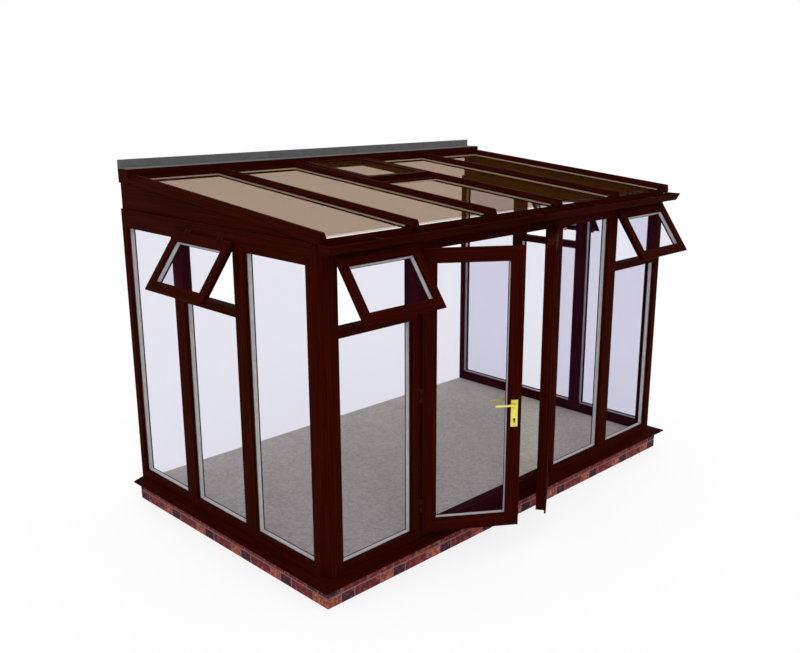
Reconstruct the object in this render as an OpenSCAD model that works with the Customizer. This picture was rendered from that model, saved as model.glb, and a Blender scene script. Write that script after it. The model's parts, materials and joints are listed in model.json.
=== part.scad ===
// Lean-to conservatory on a low brick base, with double doors, fanlights and a roof vent.
// x runs along the front, y runs from the front to the house wall, z is up.
// All sizes are in millimetres, and the drawing is centred on the brick base.
// The doors and the fanlights are drawn open, as they stand at rest.

/* [Overall] */
// Length of the brick base along the front
base_length = 4000; // [3600:50:4400]
// Depth of the brick base from the front to the house wall
base_depth = 2400; // [2200:50:2800]
// Pitch of the roof, in degrees
roof_pitch = 5.2; // [4.2:0.1:7]
// Angle of the open doors, in degrees
door_angle = 35; // [0:1:85]
// Angle of the open fanlights, in degrees
fanlight_angle = 35; // [0:1:48]

/* [Heights] */
// Height of one course of brick with its joint
course_height = 75; // [65:1:90]
// Height of the sill above the brickwork
sill_rise = 35; // [30:1:45]
// Height of the underside of the transoms
transom_line = 1790; // [1650:10:1900]
// Height of the upper edge of the fixed glass and of the door opening
glass_line = 2248; // [2180:4:2400]
// Height from that glass line to the top of the frames
head_zone = 110; // [100:1:140]
// Height of the roof glass at the front face of the frames
eaves_rise = 57; // [50:1:70]

/* [Brickwork] */
// Width of a brick
brick_width = 102.5; // [90:0.5:110]
// Thickness of a mortar joint
mortar_joint = 10; // [6:1:14]
// Number of bricks in a course along the front
front_bricks = 17; // [13:2:21]

/* [Frames] */
// Distance of the frame face behind the face of the brickwork
frame_inset = 25; // [15:1:35]
// Depth of a frame
frame_depth = 74; // [72:1:90]
// Face width of jambs, heads and transoms
jamb = 62; // [56:1:72]
// Face height of the bottom rail
bottom_rail = 70; // [60:1:90]
// Width of the corner post along each wall
corner_width = 75; // [72:1:100]
// Height of the ring beam on top of the frames
ring_height = 32; // [24:1:40]

/* [Glazing] */
// Depth of the outer lip that holds the glass
lip_depth = 28; // [20:1:30]
// Width of the glazing rebate behind the lip
rebate = 18; // [15:1:22]
// Thickness of one sheet of glass
sheet = 4; // [3:0.5:5]
// Thickness of a sealed unit in a wall
wall_unit = 36; // [28:1:38]
// Depth of the outer lip of a door leaf or a fanlight
sash_lip_depth = 12; // [8:0.5:14]
// Thickness of a sealed unit in a door leaf or a fanlight
sash_unit = 34; // [26:1:36]
// Thickness of a sealed unit in the roof
roof_unit = 16; // [14:1:22]

/* [Doors and fanlights] */
// Face width of a door stile
stile = 100; // [90:1:120]
// Depth of a door leaf behind the frame face
leaf_depth = 50; // [48:1:60]
// Face width of a fanlight bar
sash_bar = 70; // [60:1:80]
// Depth of a fanlight behind the frame face
sash_depth = 45; // [42:1:60]
// Height of the door levers above the ground
lever_height = 1155; // [1000:5:1250]
// Length of a door lever
lever_length = 145; // [120:1:160]

/* [Roof] */
// Number of glazed bays
roof_bays = 5; // [5:1:5]
// Width of a rafter cap
cap_width = 60; // [50:1:70]
// Height of a rafter cap above the glass
cap_height = 44; // [40:1:60]
// Distance of the roof vent from the house wall
vent_run = 864; // [600:2:1000]
// Distance from the face of the wall plate to the house wall
plate_depth = 150; // [120:5:180]

/* [Gutter] */
// Reach of the gutter in front of the frame face
gutter_reach = 120; // [100:1:130]
// Height of the gutter
gutter_height = 60; // [50:1:60]

/* [Hidden] */
// Small gap between pieces that meet but stay separate
hairline = 0.2;
// Radial clearance of pins and spindles
pin_play = 0.05;
// Extra reach of a cutting shape past the surface that it cuts
over = 1;
// Extra reach of the large shapes that cut whole walls to the slope of the roof
far = 100;

// Colours
foil_colour = [0.20, 0.05, 0.02];
glass_colour = [0.85, 0.90, 0.92, 0.35];
bronze_glass_colour = [0.62, 0.53, 0.45, 0.45];
brass_colour = [0.82, 0.76, 0.32];
dark_metal_colour = [0.12, 0.08, 0.06];
steel_colour = [0.72, 0.71, 0.68];
rubber_colour = [0.04, 0.04, 0.04];
lead_colour = [0.34, 0.35, 0.36];
spacer_colour = [0.75, 0.73, 0.70];

// Plinth and sill
plinth_height = 2 * course_height;
floor_covering_thickness = 10;
damp_strip_thickness = 2;
sill_base = plinth_height + damp_strip_thickness;
sill_top = plinth_height + sill_rise;
sill_projection = 56;
sill_nose = 12;
sill_groove = 6;
sill_back = frame_inset + frame_depth;
mortar_recess = 3;
brick_module = base_length / front_bricks;
brick_height = course_height - mortar_joint;
closer_width = 38;

// Frame layout
front_pitch = (base_length - 2 * frame_inset - 2 * corner_width) / 5;
side_pitch = (base_depth - frame_inset - corner_width) / 3;
bays_x = frame_inset + corner_width;
door_x = bays_x + front_pitch;
door_width = 2 * front_pitch;
frame_top = glass_line + head_zone;
ring_top = frame_top + ring_height;
pane_bottom = sill_top + bottom_rail;

// Glazing depths, measured inwards from the frame face
glass_bite = 12;
outer_gasket = 3;
inner_gasket = 2;
glass_depth = lip_depth + outer_gasket;
gasket_width = 10;
spacer_width = glass_bite + 1;
spacer_play = 0.1;

// Opening sashes stand proud of the frame face by the thickness of their flange
flange_thickness = 13.5;
flange_gap = 0.5;
flange_front = -flange_gap - flange_thickness;
sash_play = 5;

// Fanlights, in wall coordinates
fan_bottom = transom_line + jamb;
fan_top = frame_top - jamb;
fan_overlap = 14;
fan_side_overlap = 28;
fan_axis_depth = -8;
fan_axis_z = fan_top + 16;
fan_knuckle = 5;
fan_pin = 2;
small_hinge_length = 60;
fan_hinge_spread = 200;
fan_hinge_wing = 30;
fan_hinge_lap = 16;
fan_flange_top = fan_axis_z - fan_knuckle - 1;
sash_rail = sash_bar + 8;
fan_handle_boss = 11;
fan_handle_length = 100;
fan_handle_depth = 22;
fan_handle_grip = 11;
fan_handle_z = fan_bottom + sash_play + 18;
fan_spindle = 4;
fan_spindle_hole = 15;

// Doors, in wall coordinates measured from the left edge of the door frame
// The doors meet left of the middle of their frame
door_overlap = 20;
door_side_overlap = 40;
top_rail = stile + 3;
door_middle = door_width / 2;
meeting_shift = 34;
meeting_gap = 4;
door_top = glass_line - 4;
door_bottom = pane_bottom + 5;
door_axis_offset = 8;
door_axis_x = jamb - door_side_overlap - door_axis_offset;
door_axis_depth = -8;
door_knuckle = 7;
door_pin = 3.5;
door_hinge_length = 100;
door_hinge_plate = 3;
door_hinge_middle = 30;
door_knuckle_web = 2;
door_hinge_wing = 30;
door_hinge_lap = 12;
door_knuckle_gap = 0.5;
door_hinge_end_distance = 180;
door_hinge_levels = [pane_bottom + door_hinge_end_distance, (pane_bottom + glass_line) / 2,
  glass_line - door_hinge_end_distance];
backset = 52;
backplate_width = 49;
backplate_height = 195;
backplate_thickness = 8;
backplate_above_lever = 32;
backplate_bottom = lever_height + backplate_above_lever - backplate_height;
cylinder_drop = 109;
cylinder_level = lever_height - cylinder_drop;
lever_neck = 9;
lever_reach = 40;
spindle = 5;
cylinder_radius = 8.5;
cylinder_web = 10;
cylinder_web_drop = 24;
cylinder_proud = 2;
cylinder_play = 0.1;
lock_case_height = 250;
lock_case_share_below = 0.7;
lock_case_bottom = lever_height - lock_case_height * lock_case_share_below;
lock_case_thickness = 16;
lock_case_wall = 4;
lock_case_reach = stile - rebate - backset - lock_case_wall;
latch_throw = 14;
latch_height = 30;
latch_thickness = 10;
latch_length = 32;
latch_bottom = lever_height - latch_height / 2;
latch_slot_start = 8;
latch_play = 0.3;
keep_play = 1.5;
keep_end_gap = 4;
mullion_width = 47;
mullion_seat = 26;
mullion_play = 0.4;
mullion_thickness = 11;
mullion_margin = 10;
bolt_radius = 5;
bolt_hole_play = 1;
bolt_length = 140;
bolt_inset = 16;
bolt_travel = 20;
bolt_rest = 2;
bolt_hole_spare = 6;

// Edges of a door leaf, its sightlines, and the places that follow its meeting edge
leaf_left = jamb - door_side_overlap;
leaf_flange_bottom = pane_bottom - door_overlap;
leaf_flange_top = glass_line + door_overlap;
leaf_sight_left = leaf_left + stile;
leaf_sight_bottom = leaf_flange_bottom + stile;
leaf_sight_top = leaf_flange_top - top_rail;
leaf_glass_depth = flange_front + sash_lip_depth + outer_gasket;
leaf_middle = leaf_depth / 2;

// Roof, in slope coordinates measured from the glass surface at the frame face
glass_datum = frame_top + eaves_rise;
rafter_flange = 7;
rafter_gasket = 3;
cap_gasket = 5;
rafter_under = -roof_unit - rafter_gasket - rafter_flange;
rafter_stem = 8;
cap_roof = 8;
stem_top = cap_height - cap_roof;
cap_base = cap_gasket;
cap_slant = cap_width / 3;
end_cap_thickness = 3;
end_cap_lift = 2;
pane_margin = rafter_stem + 3;
roof_gasket_width = cap_width / 2 - pane_margin;
roof_gasket_start = 12;
pane_end_gap = 4;
first_rafter = frame_inset + cap_width / 2;
rafter_pitch = (base_length - 2 * first_rafter) / roof_bays;
wall_plate_face = base_depth - plate_depth;
slope_run = (wall_plate_face - frame_inset) / cos(roof_pitch);
plate_bite = 20;
post_spare = 20;
eaves_strip = 80;
eaves_upstand_thickness = 10;
eaves_upstand_top = glass_datum + 2;
wall_plate_drop = 6;
wall_plate_rise = 30;
wall_plate_base = slope_z(wall_plate_face, rafter_under) - wall_plate_drop;
wall_plate_top = slope_z(wall_plate_face, cap_height) + wall_plate_rise;
flashing_thickness = 3;
flashing_upstand = 64;
gable_setback = 14;
gable_thickness = 24;

// Roof vent, in slope coordinates
vent_bay = 2;
vent_top = cap_height + 2;
vent_front_gap = 2;
vent_frame_depth = 28;
vent_bar = 60;
vent_side_gap = 14;
vent_crossbar = 87;
vent_crossbar_height = 8;
vent_unit = 14;
vent_lip = 6;
vent_end = slope_run - 2 * pane_end_gap;
vent_start = slope_run - vent_run;
vent_left = first_rafter + vent_bay * rafter_pitch + cap_width / 2 + vent_side_gap;
vent_width = rafter_pitch - cap_width - 2 * vent_side_gap;
kerb_top = vent_top - vent_frame_depth - 2;
kerb_overlap = 6;
kerb_width = 40;
vent_knuckle = 5;
vent_pin = 2;
vent_hinge_plate = 2.5;
vent_hinge_wing = 35;
vent_hinge_spread = vent_width * 0.3;
vent_axis_height = vent_top + vent_knuckle + 0.5;

// Small hinges of the fanlights and the vent: a middle knuckle between two fixed ones
small_middle = 20;
small_knuckle_gap = 1;
small_plate = 2;

// Gutter
gutter_wall = 3;
gutter_foot = 80;
gutter_lip = 9;
gutter_top = ring_top;
gutter_base = ring_top - gutter_height;
stop_end_thickness = 3;
strap_width = 24;
strap_thickness = 3;

// Height of a point on the roof, at a distance y and a height above the glass surface
function slope_z(y, above) = glass_datum + (y - frame_inset) * tan(roof_pitch) + above / cos(roof_pitch);
function rafter_x(i) = first_rafter + i * rafter_pitch;
// Corners of a rafter cap, from its lower right edge round to its lower left edge
function cap_outline(x) = [[x + cap_width / 2, cap_base], [x + cap_width / 2 - cap_slant, cap_height],
  [x - cap_width / 2 + cap_slant, cap_height], [x - cap_width / 2, cap_base]];
function side_bay_y(i) = frame_inset + corner_width + i * side_pitch;

// Places on the door leaf that is being drawn
function leaf_right() = $meeting - meeting_gap / 2;
function body_right() = leaf_right() - meeting_gap / 2;
function leaf_sight_right() = leaf_right() - stile;
function lock_x() = leaf_right() - backset;
function mullion_left() = body_right() - mullion_seat;
function shoot_bolt_x() = $meeting - meeting_gap - bolt_inset;

// Placing helpers
module centred() {
  translate([-base_length / 2, -base_depth / 2, 0]) children();
}

module on_front(x) {
  translate([x, frame_inset, 0]) children();
}

module on_left(bay) {
  translate([frame_inset, side_bay_y(bay + 1), 0]) rotate([0, 0, -90]) children();
}

module on_right(bay) {
  translate([base_length - frame_inset, side_bay_y(bay), 0]) rotate([0, 0, 90]) children();
}

module on_both_sides(bay) {
  on_left(bay) children();
  on_right(bay) children();
}

module on_slope() {
  translate([0, frame_inset, glass_datum]) rotate([roof_pitch, 0, 0]) children();
}

// Vent frames are drawn as wall frames and laid on the slope, outer face up
module on_vent() {
  on_slope() translate([vent_left, 0, vent_top]) rotate([-90, 0, 0]) children();
}

// Turns a shape about an axis that runs along the wall
module swung(axis_depth, axis_z, angle) {
  translate([0, axis_depth, axis_z]) rotate([-angle, 0, 0])
    translate([0, -axis_depth, -axis_z]) children();
}

// The meeting line is measured from the hinge side of the leaf that is drawn
module left_leaf_pose() {
  $meeting = door_middle - meeting_shift;
  centred() on_front(door_x)
    translate([door_axis_x, door_axis_depth, 0]) rotate([0, 0, -door_angle])
      translate([-door_axis_x, -door_axis_depth, 0]) children();
}

// The right leaf is drawn as the mirror image of the left leaf
module right_leaf_pose() {
  $meeting = door_middle + meeting_shift;
  centred() on_front(door_x)
    translate([door_width, 0, 0]) mirror([1, 0, 0])
      translate([door_axis_x, door_axis_depth, 0]) rotate([0, 0, -door_angle])
        translate([-door_axis_x, -door_axis_depth, 0]) children();
}

// Draws something at one end of a hinge and its mirror image at the other
module both_ends(axis) {
  children();
  mirror(axis) children();
}

// Basic shapes
module block(from, to) {
  translate(from) cube(to - from);
}

// An outline in the plane of a wall, given a thickness from one depth to another
module upright(points, from, to) {
  translate([0, to, 0]) rotate([90, 0, 0]) linear_extrude(height = to - from) polygon(points);
}

// An outline across the front, given a length from one x to another
module profile(points, from, to) {
  translate([from, 0, 0]) rotate([90, 0, 90]) linear_extrude(height = to - from) polygon(points);
}

module rod_x(radius, from, to, y, z) {
  translate([from, y, z]) rotate([0, 90, 0]) cylinder(h = to - from, r = radius, $fn = 48);
}

module rod_y(radius, from, to, x, z) {
  translate([x, from, z]) rotate([-90, 0, 0]) cylinder(h = to - from, r = radius, $fn = 48);
}

module rod_z(radius, from, to, x, y) {
  translate([x, y, from]) cylinder(h = to - from, r = radius, $fn = 48);
}

// Four bars with mitred corners and a hairline joint at each mitre
module mitred_bars(left, right, bottom, top, side_face, bottom_face, top_face, from, to) {
  inner_left = left + side_face;
  inner_right = right - side_face;
  inner_bottom = bottom + bottom_face;
  inner_top = top - top_face;
  upright([[left, bottom], [right, bottom], [inner_right, inner_bottom], [inner_left, inner_bottom]],
    from, to);
  upright([[left, top], [inner_left, inner_top], [inner_right, inner_top], [right, top]], from, to);
  upright([[left, bottom + hairline], [inner_left, inner_bottom + hairline],
    [inner_left, inner_top - hairline], [left, top - hairline]], from, to);
  upright([[right, bottom + hairline], [right, top - hairline],
    [inner_right, inner_top - hairline], [inner_right, inner_bottom + hairline]], from, to);
}

// Hairline cuts along the mitres of a sash, so that its bars stay separate
module mitre_cuts(left, right, bottom, top, side_face, bottom_face, top_face, from, to) {
  for (corner = [[left, bottom, side_face, bottom_face], [right, bottom, -side_face, bottom_face],
      [left, top, side_face, -top_face], [right, top, -side_face, -top_face]])
    translate([corner[0], from, corner[1]]) rotate([0, -atan2(corner[3], corner[2]), 0])
      translate([-over, 0, -hairline / 2])
        cube([norm([corner[2], corner[3]]) + 2 * over, to - from, hairline]);
}

// A thin rectangular ring in one piece
module thin_ring(left, right, bottom, top, face, from, to) {
  difference() {
    block([left, from, bottom], [right, to, top]);
    block([left + face, from - over, bottom + face], [right - face, to + over, top - face]);
  }
}

// Space that a sealed unit and its bead need behind the outer lip
module glazing_rebate(left, right, bottom, top, lip_back, inner_face) {
  block([left - rebate, lip_back, bottom - rebate], [right + rebate, inner_face + over, top + rebate]);
}

// Two sheets of one sealed unit, from the sightlines of its opening
module sheets(left, right, bottom, top, from, unit) {
  for (depth = [from, from + unit - sheet])
    block([left - glass_bite, depth, bottom - glass_bite],
      [right + glass_bite, depth + sheet, top + glass_bite]);
}

module spacer(left, right, bottom, top, from, unit) {
  thin_ring(left - glass_bite, right + glass_bite, bottom - glass_bite, top + glass_bite,
    spacer_width, from + sheet + spacer_play, from + unit - sheet - spacer_play);
}

// Seals moulded onto a sash on both sides of its sealed unit
module sash_seals(left, right, bottom, top) {
  reach = glass_bite - 1;
  front = flange_front + sash_lip_depth;
  back = front + outer_gasket + sash_unit;
  for (span = [[front, front + outer_gasket], [back, back + inner_gasket]])
    thin_ring(left - reach, right + reach, bottom - reach, top + reach, gasket_width, span[0], span[1]);
}

module beads(left, right, bottom, top, from, to) {
  mitred_bars(left - rebate + hairline, right + rebate - hairline, bottom - rebate + hairline,
    top + rebate - hairline, rebate - hairline, rebate - hairline, rebate - hairline, from, to);
}

// Brickwork
module brick_run(from, to, course, depth_from, depth_to) {
  bottom = course * course_height;
  block([from, depth_from, bottom], [to, depth_to, bottom + brick_height]);
}

module front_bricks_low() {
  for (i = [0 : front_bricks - 1]) {
    start = i * brick_module + (i == 0 ? 0 : mortar_joint / 2);
    end = (i + 1) * brick_module - (i == front_bricks - 1 ? 0 : mortar_joint / 2);
    middle = (i + 0.5) * brick_module;
    if (i % 2 == 0) {
      brick_run(start, middle - mortar_joint / 2, 0, 0, brick_width);
      brick_run(middle + mortar_joint / 2, end, 0, 0, brick_width);
    } else {
      brick_run(start, end, 0, 0, brick_width);
    }
  }
}

module front_bricks_high() {
  half = brick_module / 2;
  brick_run(0, half - mortar_joint / 2, 1, 0, brick_width);
  brick_run(base_length - half + mortar_joint / 2, base_length, 1, 0, brick_width);
  for (i = [0 : front_bricks - 2])
    brick_run(half + i * brick_module + mortar_joint / 2, half + (i + 1) * brick_module - mortar_joint / 2,
      1, 0, brick_width);
}

// Bricks of a side wall, laid back from the corner and cut at the house wall
module side_bricks(course) {
  corner = brick_width + mortar_joint;
  first = corner + (course == 0 ? closer_width + mortar_joint : brick_module / 2);
  count = ceil((base_depth - first) / brick_module);
  side_brick(corner, first - mortar_joint, course);
  for (i = [0 : count - 1]) {
    start = first + i * brick_module;
    end = min(start + brick_module - mortar_joint, base_depth);
    middle = start + (brick_module - mortar_joint) / 2;
    if (course == 0 && i % 2 == 1) {
      side_brick(start, min(middle - mortar_joint / 2, base_depth), course);
      if (middle + mortar_joint / 2 < base_depth - 1)
        side_brick(middle + mortar_joint / 2, end, course);
    } else if (end > start + 1) {
      side_brick(start, end, course);
    }
  }
}

module side_brick(from, to, course) {
  bottom = course * course_height;
  block([0, from, bottom], [brick_width, to, bottom + brick_height]);
}

module both_side_bricks(course) {
  side_bricks(course);
  translate([base_length, 0, 0]) mirror([1, 0, 0]) side_bricks(course);
}

module bricks() {
  color([0.55, 0.25, 0.20]) centred() {
    front_bricks_low();
    front_bricks_high();
    both_side_bricks(0);
    both_side_bricks(1);
  }
}

module mortar() {
  color([0.70, 0.64, 0.56]) centred() difference() {
    union() {
      block([mortar_recess, mortar_recess, 0], [base_length - mortar_recess, brick_width, plinth_height]);
      block([mortar_recess, brick_width, 0], [brick_width, base_depth, plinth_height]);
      block([base_length - brick_width, brick_width, 0],
        [base_length - mortar_recess, base_depth, plinth_height]);
    }
    front_bricks_low();
    front_bricks_high();
    both_side_bricks(0);
    both_side_bricks(1);
  }
}

module floor_slab() {
  color([0.60, 0.58, 0.55]) centred()
    block([brick_width, brick_width, 0], [base_length - brick_width, base_depth, plinth_height]);
}

module floor_covering() {
  color([0.72, 0.70, 0.66]) centred()
    block([sill_back, sill_back, plinth_height],
      [base_length - sill_back, base_depth, plinth_height + floor_covering_thickness]);
}

module damp_proof_strip() {
  color(rubber_colour) centred() {
    block([mortar_recess, mortar_recess, plinth_height], [base_length - mortar_recess, sill_back, sill_base]);
    block([mortar_recess, sill_back, plinth_height], [sill_back, base_depth, sill_base]);
    block([base_length - sill_back, sill_back, plinth_height],
      [base_length - mortar_recess, base_depth, sill_base]);
  }
}

// Section of a sill, with its nose, its fall and a drip groove
module sill_bar(length) {
  profile([[-sill_projection, sill_base], [-sill_projection + sill_groove * 2, sill_base],
    [-sill_projection + sill_groove * 2, sill_base + sill_groove],
    [-sill_projection + sill_groove * 3, sill_base + sill_groove],
    [-sill_projection + sill_groove * 3, sill_base],
    [sill_back, sill_base], [sill_back, sill_top], [frame_inset, sill_top],
    [-sill_projection, sill_base + sill_nose]], -sill_projection, length + sill_projection);
}

module left_sill() {
  intersection() {
    translate([0, base_depth, 0]) rotate([0, 0, -90]) sill_bar(base_depth);
    translate([0, 0, sill_base]) linear_extrude(height = sill_rise)
      polygon([[-sill_projection, -sill_projection + hairline], [sill_back, sill_back + hairline],
        [sill_back, base_depth - hairline], [-sill_projection, base_depth - hairline]]);
  }
}

module sills() {
  color(foil_colour) centred() {
    intersection() {
      sill_bar(base_length);
      translate([0, 0, sill_base]) linear_extrude(height = sill_rise)
        polygon([[-sill_projection, -sill_projection], [base_length + sill_projection, -sill_projection],
          [base_length - sill_back, sill_back], [sill_back, sill_back]]);
    }
    left_sill();
    translate([base_length, 0, 0]) mirror([1, 0, 0]) left_sill();
  }
}

// Space that the roof takes, from a hairline below the undersides of the rafters
module roof_space() {
  front = -far;
  back = base_depth + far;
  under = rafter_under - hairline;
  profile([[front, slope_z(front, under)], [back, slope_z(back, under)],
    [back, wall_plate_top + far], [front, wall_plate_top + far]], -over, base_length + over);
}

module corner_post() {
  translate([frame_inset, frame_inset, sill_top]) linear_extrude(height = ring_top + post_spare - sill_top)
    polygon([[0, corner_width], [corner_width, 0], [corner_width, frame_depth], [frame_depth, corner_width]]);
}

module corner_posts() {
  color(foil_colour) centred() difference() {
    union() {
      corner_post();
      translate([base_length, 0, 0]) mirror([1, 0, 0]) corner_post();
    }
    roof_space();
  }
}

// Frames, drawn in wall coordinates from the left edge of the bay
module fixed_frame(width) {
  difference() {
    mitred_bars(hairline, width - hairline, sill_top, glass_line + jamb, jamb, bottom_rail, jamb,
      0, frame_depth);
    glazing_rebate(jamb, width - jamb, pane_bottom, glass_line, lip_depth, frame_depth);
  }
}

module window_frame(width) {
  difference() {
    union() {
      mitred_bars(hairline, width - hairline, sill_top, frame_top, jamb, bottom_rail, jamb, 0, frame_depth);
      block([jamb + 2 * hairline, 0, transom_line], [width - jamb - 2 * hairline, frame_depth, fan_bottom]);
    }
    glazing_rebate(jamb, width - jamb, pane_bottom, transom_line, lip_depth, frame_depth);
  }
}

module head_extension(width) {
  block([hairline, 0, glass_line + jamb], [width - hairline, frame_depth, frame_top]);
}

module side_frames() {
  color(foil_colour) centred() {
    on_both_sides(0) fixed_frame(side_pitch);
    on_both_sides(1) window_frame(side_pitch);
    on_both_sides(2) fixed_frame(side_pitch);
  }
}

module front_frames() {
  color(foil_colour) centred() {
    on_front(bays_x) window_frame(front_pitch);
    on_front(bays_x + 3 * front_pitch) fixed_frame(front_pitch);
    on_front(bays_x + 4 * front_pitch) window_frame(front_pitch);
  }
}

// The holes in the door frame take the shoot bolts of the right leaf
module door_frame() {
  bolt_x = door_middle - meeting_shift + meeting_gap + bolt_inset;
  hole = bolt_radius + bolt_hole_play;
  color(foil_colour) centred() on_front(door_x) difference() {
    mitred_bars(hairline, door_width - hairline, sill_top, glass_line + jamb, jamb, bottom_rail, jamb,
      0, frame_depth);
    rod_z(hole, glass_line - over, door_top + bolt_travel + bolt_hole_spare, bolt_x, leaf_depth / 2);
    rod_z(hole, door_bottom - bolt_travel - bolt_hole_spare, pane_bottom + over, bolt_x, leaf_depth / 2);
  }
}

module head_extensions() {
  color(foil_colour) centred() {
    on_both_sides(0) head_extension(side_pitch);
    on_both_sides(2) head_extension(side_pitch);
    on_front(door_x) head_extension(door_width);
    on_front(bays_x + 3 * front_pitch) head_extension(front_pitch);
  }
}

module ring_beam() {
  color(foil_colour) centred() difference() {
    union() {
      block([bays_x + hairline, frame_inset, frame_top],
        [base_length - bays_x - hairline, sill_back, ring_top + post_spare]);
      for (x = [frame_inset, base_length - sill_back])
        block([x, bays_x + hairline, frame_top], [x + frame_depth, base_depth, ring_top]);
    }
    roof_space();
  }
}

// Repeats its children at every fixed pane, with the width and the top of the pane
module pane_slot(width, top) {
  $pane_width = width;
  $pane_top = top;
  children();
}

module at_each_pane() {
  on_both_sides(0) pane_slot(side_pitch, glass_line) children();
  on_both_sides(1) pane_slot(side_pitch, transom_line) children();
  on_both_sides(2) pane_slot(side_pitch, glass_line) children();
  on_front(bays_x) pane_slot(front_pitch, transom_line) children();
  on_front(bays_x + 3 * front_pitch) pane_slot(front_pitch, glass_line) children();
  on_front(bays_x + 4 * front_pitch) pane_slot(front_pitch, transom_line) children();
}

module wall_panes() {
  color(glass_colour) centred() at_each_pane()
    sheets(jamb, $pane_width - jamb, pane_bottom, $pane_top, glass_depth, wall_unit);
}

module spacer_bars() {
  color(spacer_colour) centred() {
    at_each_pane() spacer(jamb, $pane_width - jamb, pane_bottom, $pane_top, glass_depth, wall_unit);
    on_slope() for (i = [0 : roof_bays - 1]) roof_spacer(i, roof_pane_end(i));
  }
}

module glazing_gaskets() {
  gasket_overlap = glass_bite - 1;
  color(rubber_colour) centred() {
    at_each_pane() for (face = [[lip_depth, glass_depth],
        [glass_depth + wall_unit, glass_depth + wall_unit + inner_gasket]])
      thin_ring(jamb - gasket_overlap, $pane_width - jamb + gasket_overlap, pane_bottom - gasket_overlap,
        $pane_top + gasket_overlap, gasket_width, face[0], face[1]);
    on_slope() for (i = [0 : roof_bays - 1])
      for (x = [rafter_x(i) + pane_margin, rafter_x(i + 1) - pane_margin - roof_gasket_width])
        for (layer = [[-roof_unit - rafter_gasket, -roof_unit], [0, cap_gasket]])
          block([x, roof_gasket_start, layer[0]],
            [x + roof_gasket_width, slope_run - pane_end_gap, layer[1]]);
  }
}

module glazing_beads() {
  color(foil_colour) centred() at_each_pane()
    beads(jamb, $pane_width - jamb, pane_bottom, $pane_top, glass_depth + wall_unit + inner_gasket,
      frame_depth);
}

// Roof
module wall_plate_space() {
  block([-over, wall_plate_face - hairline, wall_plate_base - over],
    [base_length + over, base_depth + far, wall_plate_top + over]);
}

module gable_panel() {
  difference() {
    block([frame_inset + gable_setback, bays_x + hairline, ring_top],
      [frame_inset + gable_setback + gable_thickness, base_depth, wall_plate_top]);
    roof_space();
    wall_plate_space();
  }
}

module gable_panels() {
  color(foil_colour) centred() {
    gable_panel();
    translate([base_length, 0, 0]) mirror([1, 0, 0]) gable_panel();
  }
}

// A rafter is an upside-down tee that carries the panes on its flanges
module rafter(x) {
  end = slope_run + plate_bite;
  block([x - cap_width / 2, 0, rafter_under], [x + cap_width / 2, end, rafter_under + rafter_flange]);
  block([x - rafter_stem, 0, rafter_under + rafter_flange], [x + rafter_stem, end, stem_top]);
}

// The end rafters are closed on their outer side
module closed_side() {
  block([frame_inset, 0, rafter_under + rafter_flange],
    [frame_inset + cap_width / 2 - rafter_stem, slope_run + plate_bite, cap_base - hairline]);
}

module rafters() {
  color(foil_colour) centred() difference() {
    on_slope() {
      for (i = [0 : roof_bays]) rafter(rafter_x(i));
      closed_side();
      translate([base_length, 0, 0]) mirror([1, 0, 0]) closed_side();
    }
    wall_plate_space();
  }
}

module rafter_caps() {
  groove = rafter_stem + hairline;
  end = slope_run + plate_bite;
  color(foil_colour) centred() difference() {
    on_slope() for (i = [0 : roof_bays]) difference() {
      upright(cap_outline(rafter_x(i)), 0, end);
      block([rafter_x(i) - groove, -over, cap_base - over],
        [rafter_x(i) + groove, end + over, stem_top + hairline]);
    }
    wall_plate_space();
  }
}

// The end caps stop just above the back edge of the gutter
module rafter_end_caps() {
  foot = rafter_under + end_cap_lift;
  color(foil_colour) centred() on_slope() for (i = [0 : roof_bays])
    upright(concat([[rafter_x(i) - cap_width / 2, foot], [rafter_x(i) + cap_width / 2, foot]],
      cap_outline(rafter_x(i))), -end_cap_thickness, -hairline);
}

module eaves_upstands() {
  color(foil_colour) centred() for (i = [0 : roof_bays - 1])
    block([rafter_x(i) + cap_width / 2 + hairline, frame_inset,
        slope_z(frame_inset + eaves_upstand_thickness, rafter_under) + hairline],
      [rafter_x(i + 1) - cap_width / 2 - hairline, frame_inset + eaves_upstand_thickness, eaves_upstand_top]);
}

module eaves_closures() {
  color(glass_colour) centred() on_slope() for (i = [0 : roof_bays - 1])
    block([rafter_x(i) + pane_margin, roof_gasket_start, -roof_unit],
      [rafter_x(i + 1) - pane_margin, eaves_strip, 0]);
}

// The pane of the vent bay ends at the crossbar below the vent
function roof_pane_end(bay) =
  bay == vent_bay ? vent_start - vent_crossbar + glass_bite : slope_run - pane_end_gap;

module roof_pane(bay, end) {
  left = rafter_x(bay) + pane_margin;
  right = rafter_x(bay + 1) - pane_margin;
  start = eaves_strip + hairline;
  for (height = [-roof_unit, -sheet])
    block([left, start, height], [right, end, height + sheet]);
}

module roof_panes() {
  color(bronze_glass_colour) centred() on_slope()
    for (i = [0 : roof_bays - 1]) roof_pane(i, roof_pane_end(i));
}

// A spacer between the two sheets of a roof pane, just inside the edges of the caps and open at the eaves
module roof_spacer(bay, end) {
  left = rafter_x(bay) + pane_margin;
  right = rafter_x(bay + 1) - pane_margin;
  start = eaves_strip + hairline;
  side = roof_gasket_width + over;
  difference() {
    block([left, start, -roof_unit + sheet + spacer_play], [right, end, -sheet - spacer_play]);
    block([left + side, start - over, -roof_unit], [right - side, end - spacer_width, 0]);
  }
}

module wall_plate() {
  color(foil_colour) centred()
    block([frame_inset, wall_plate_face, wall_plate_base],
      [base_length - frame_inset, base_depth, wall_plate_top]);
}

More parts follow.
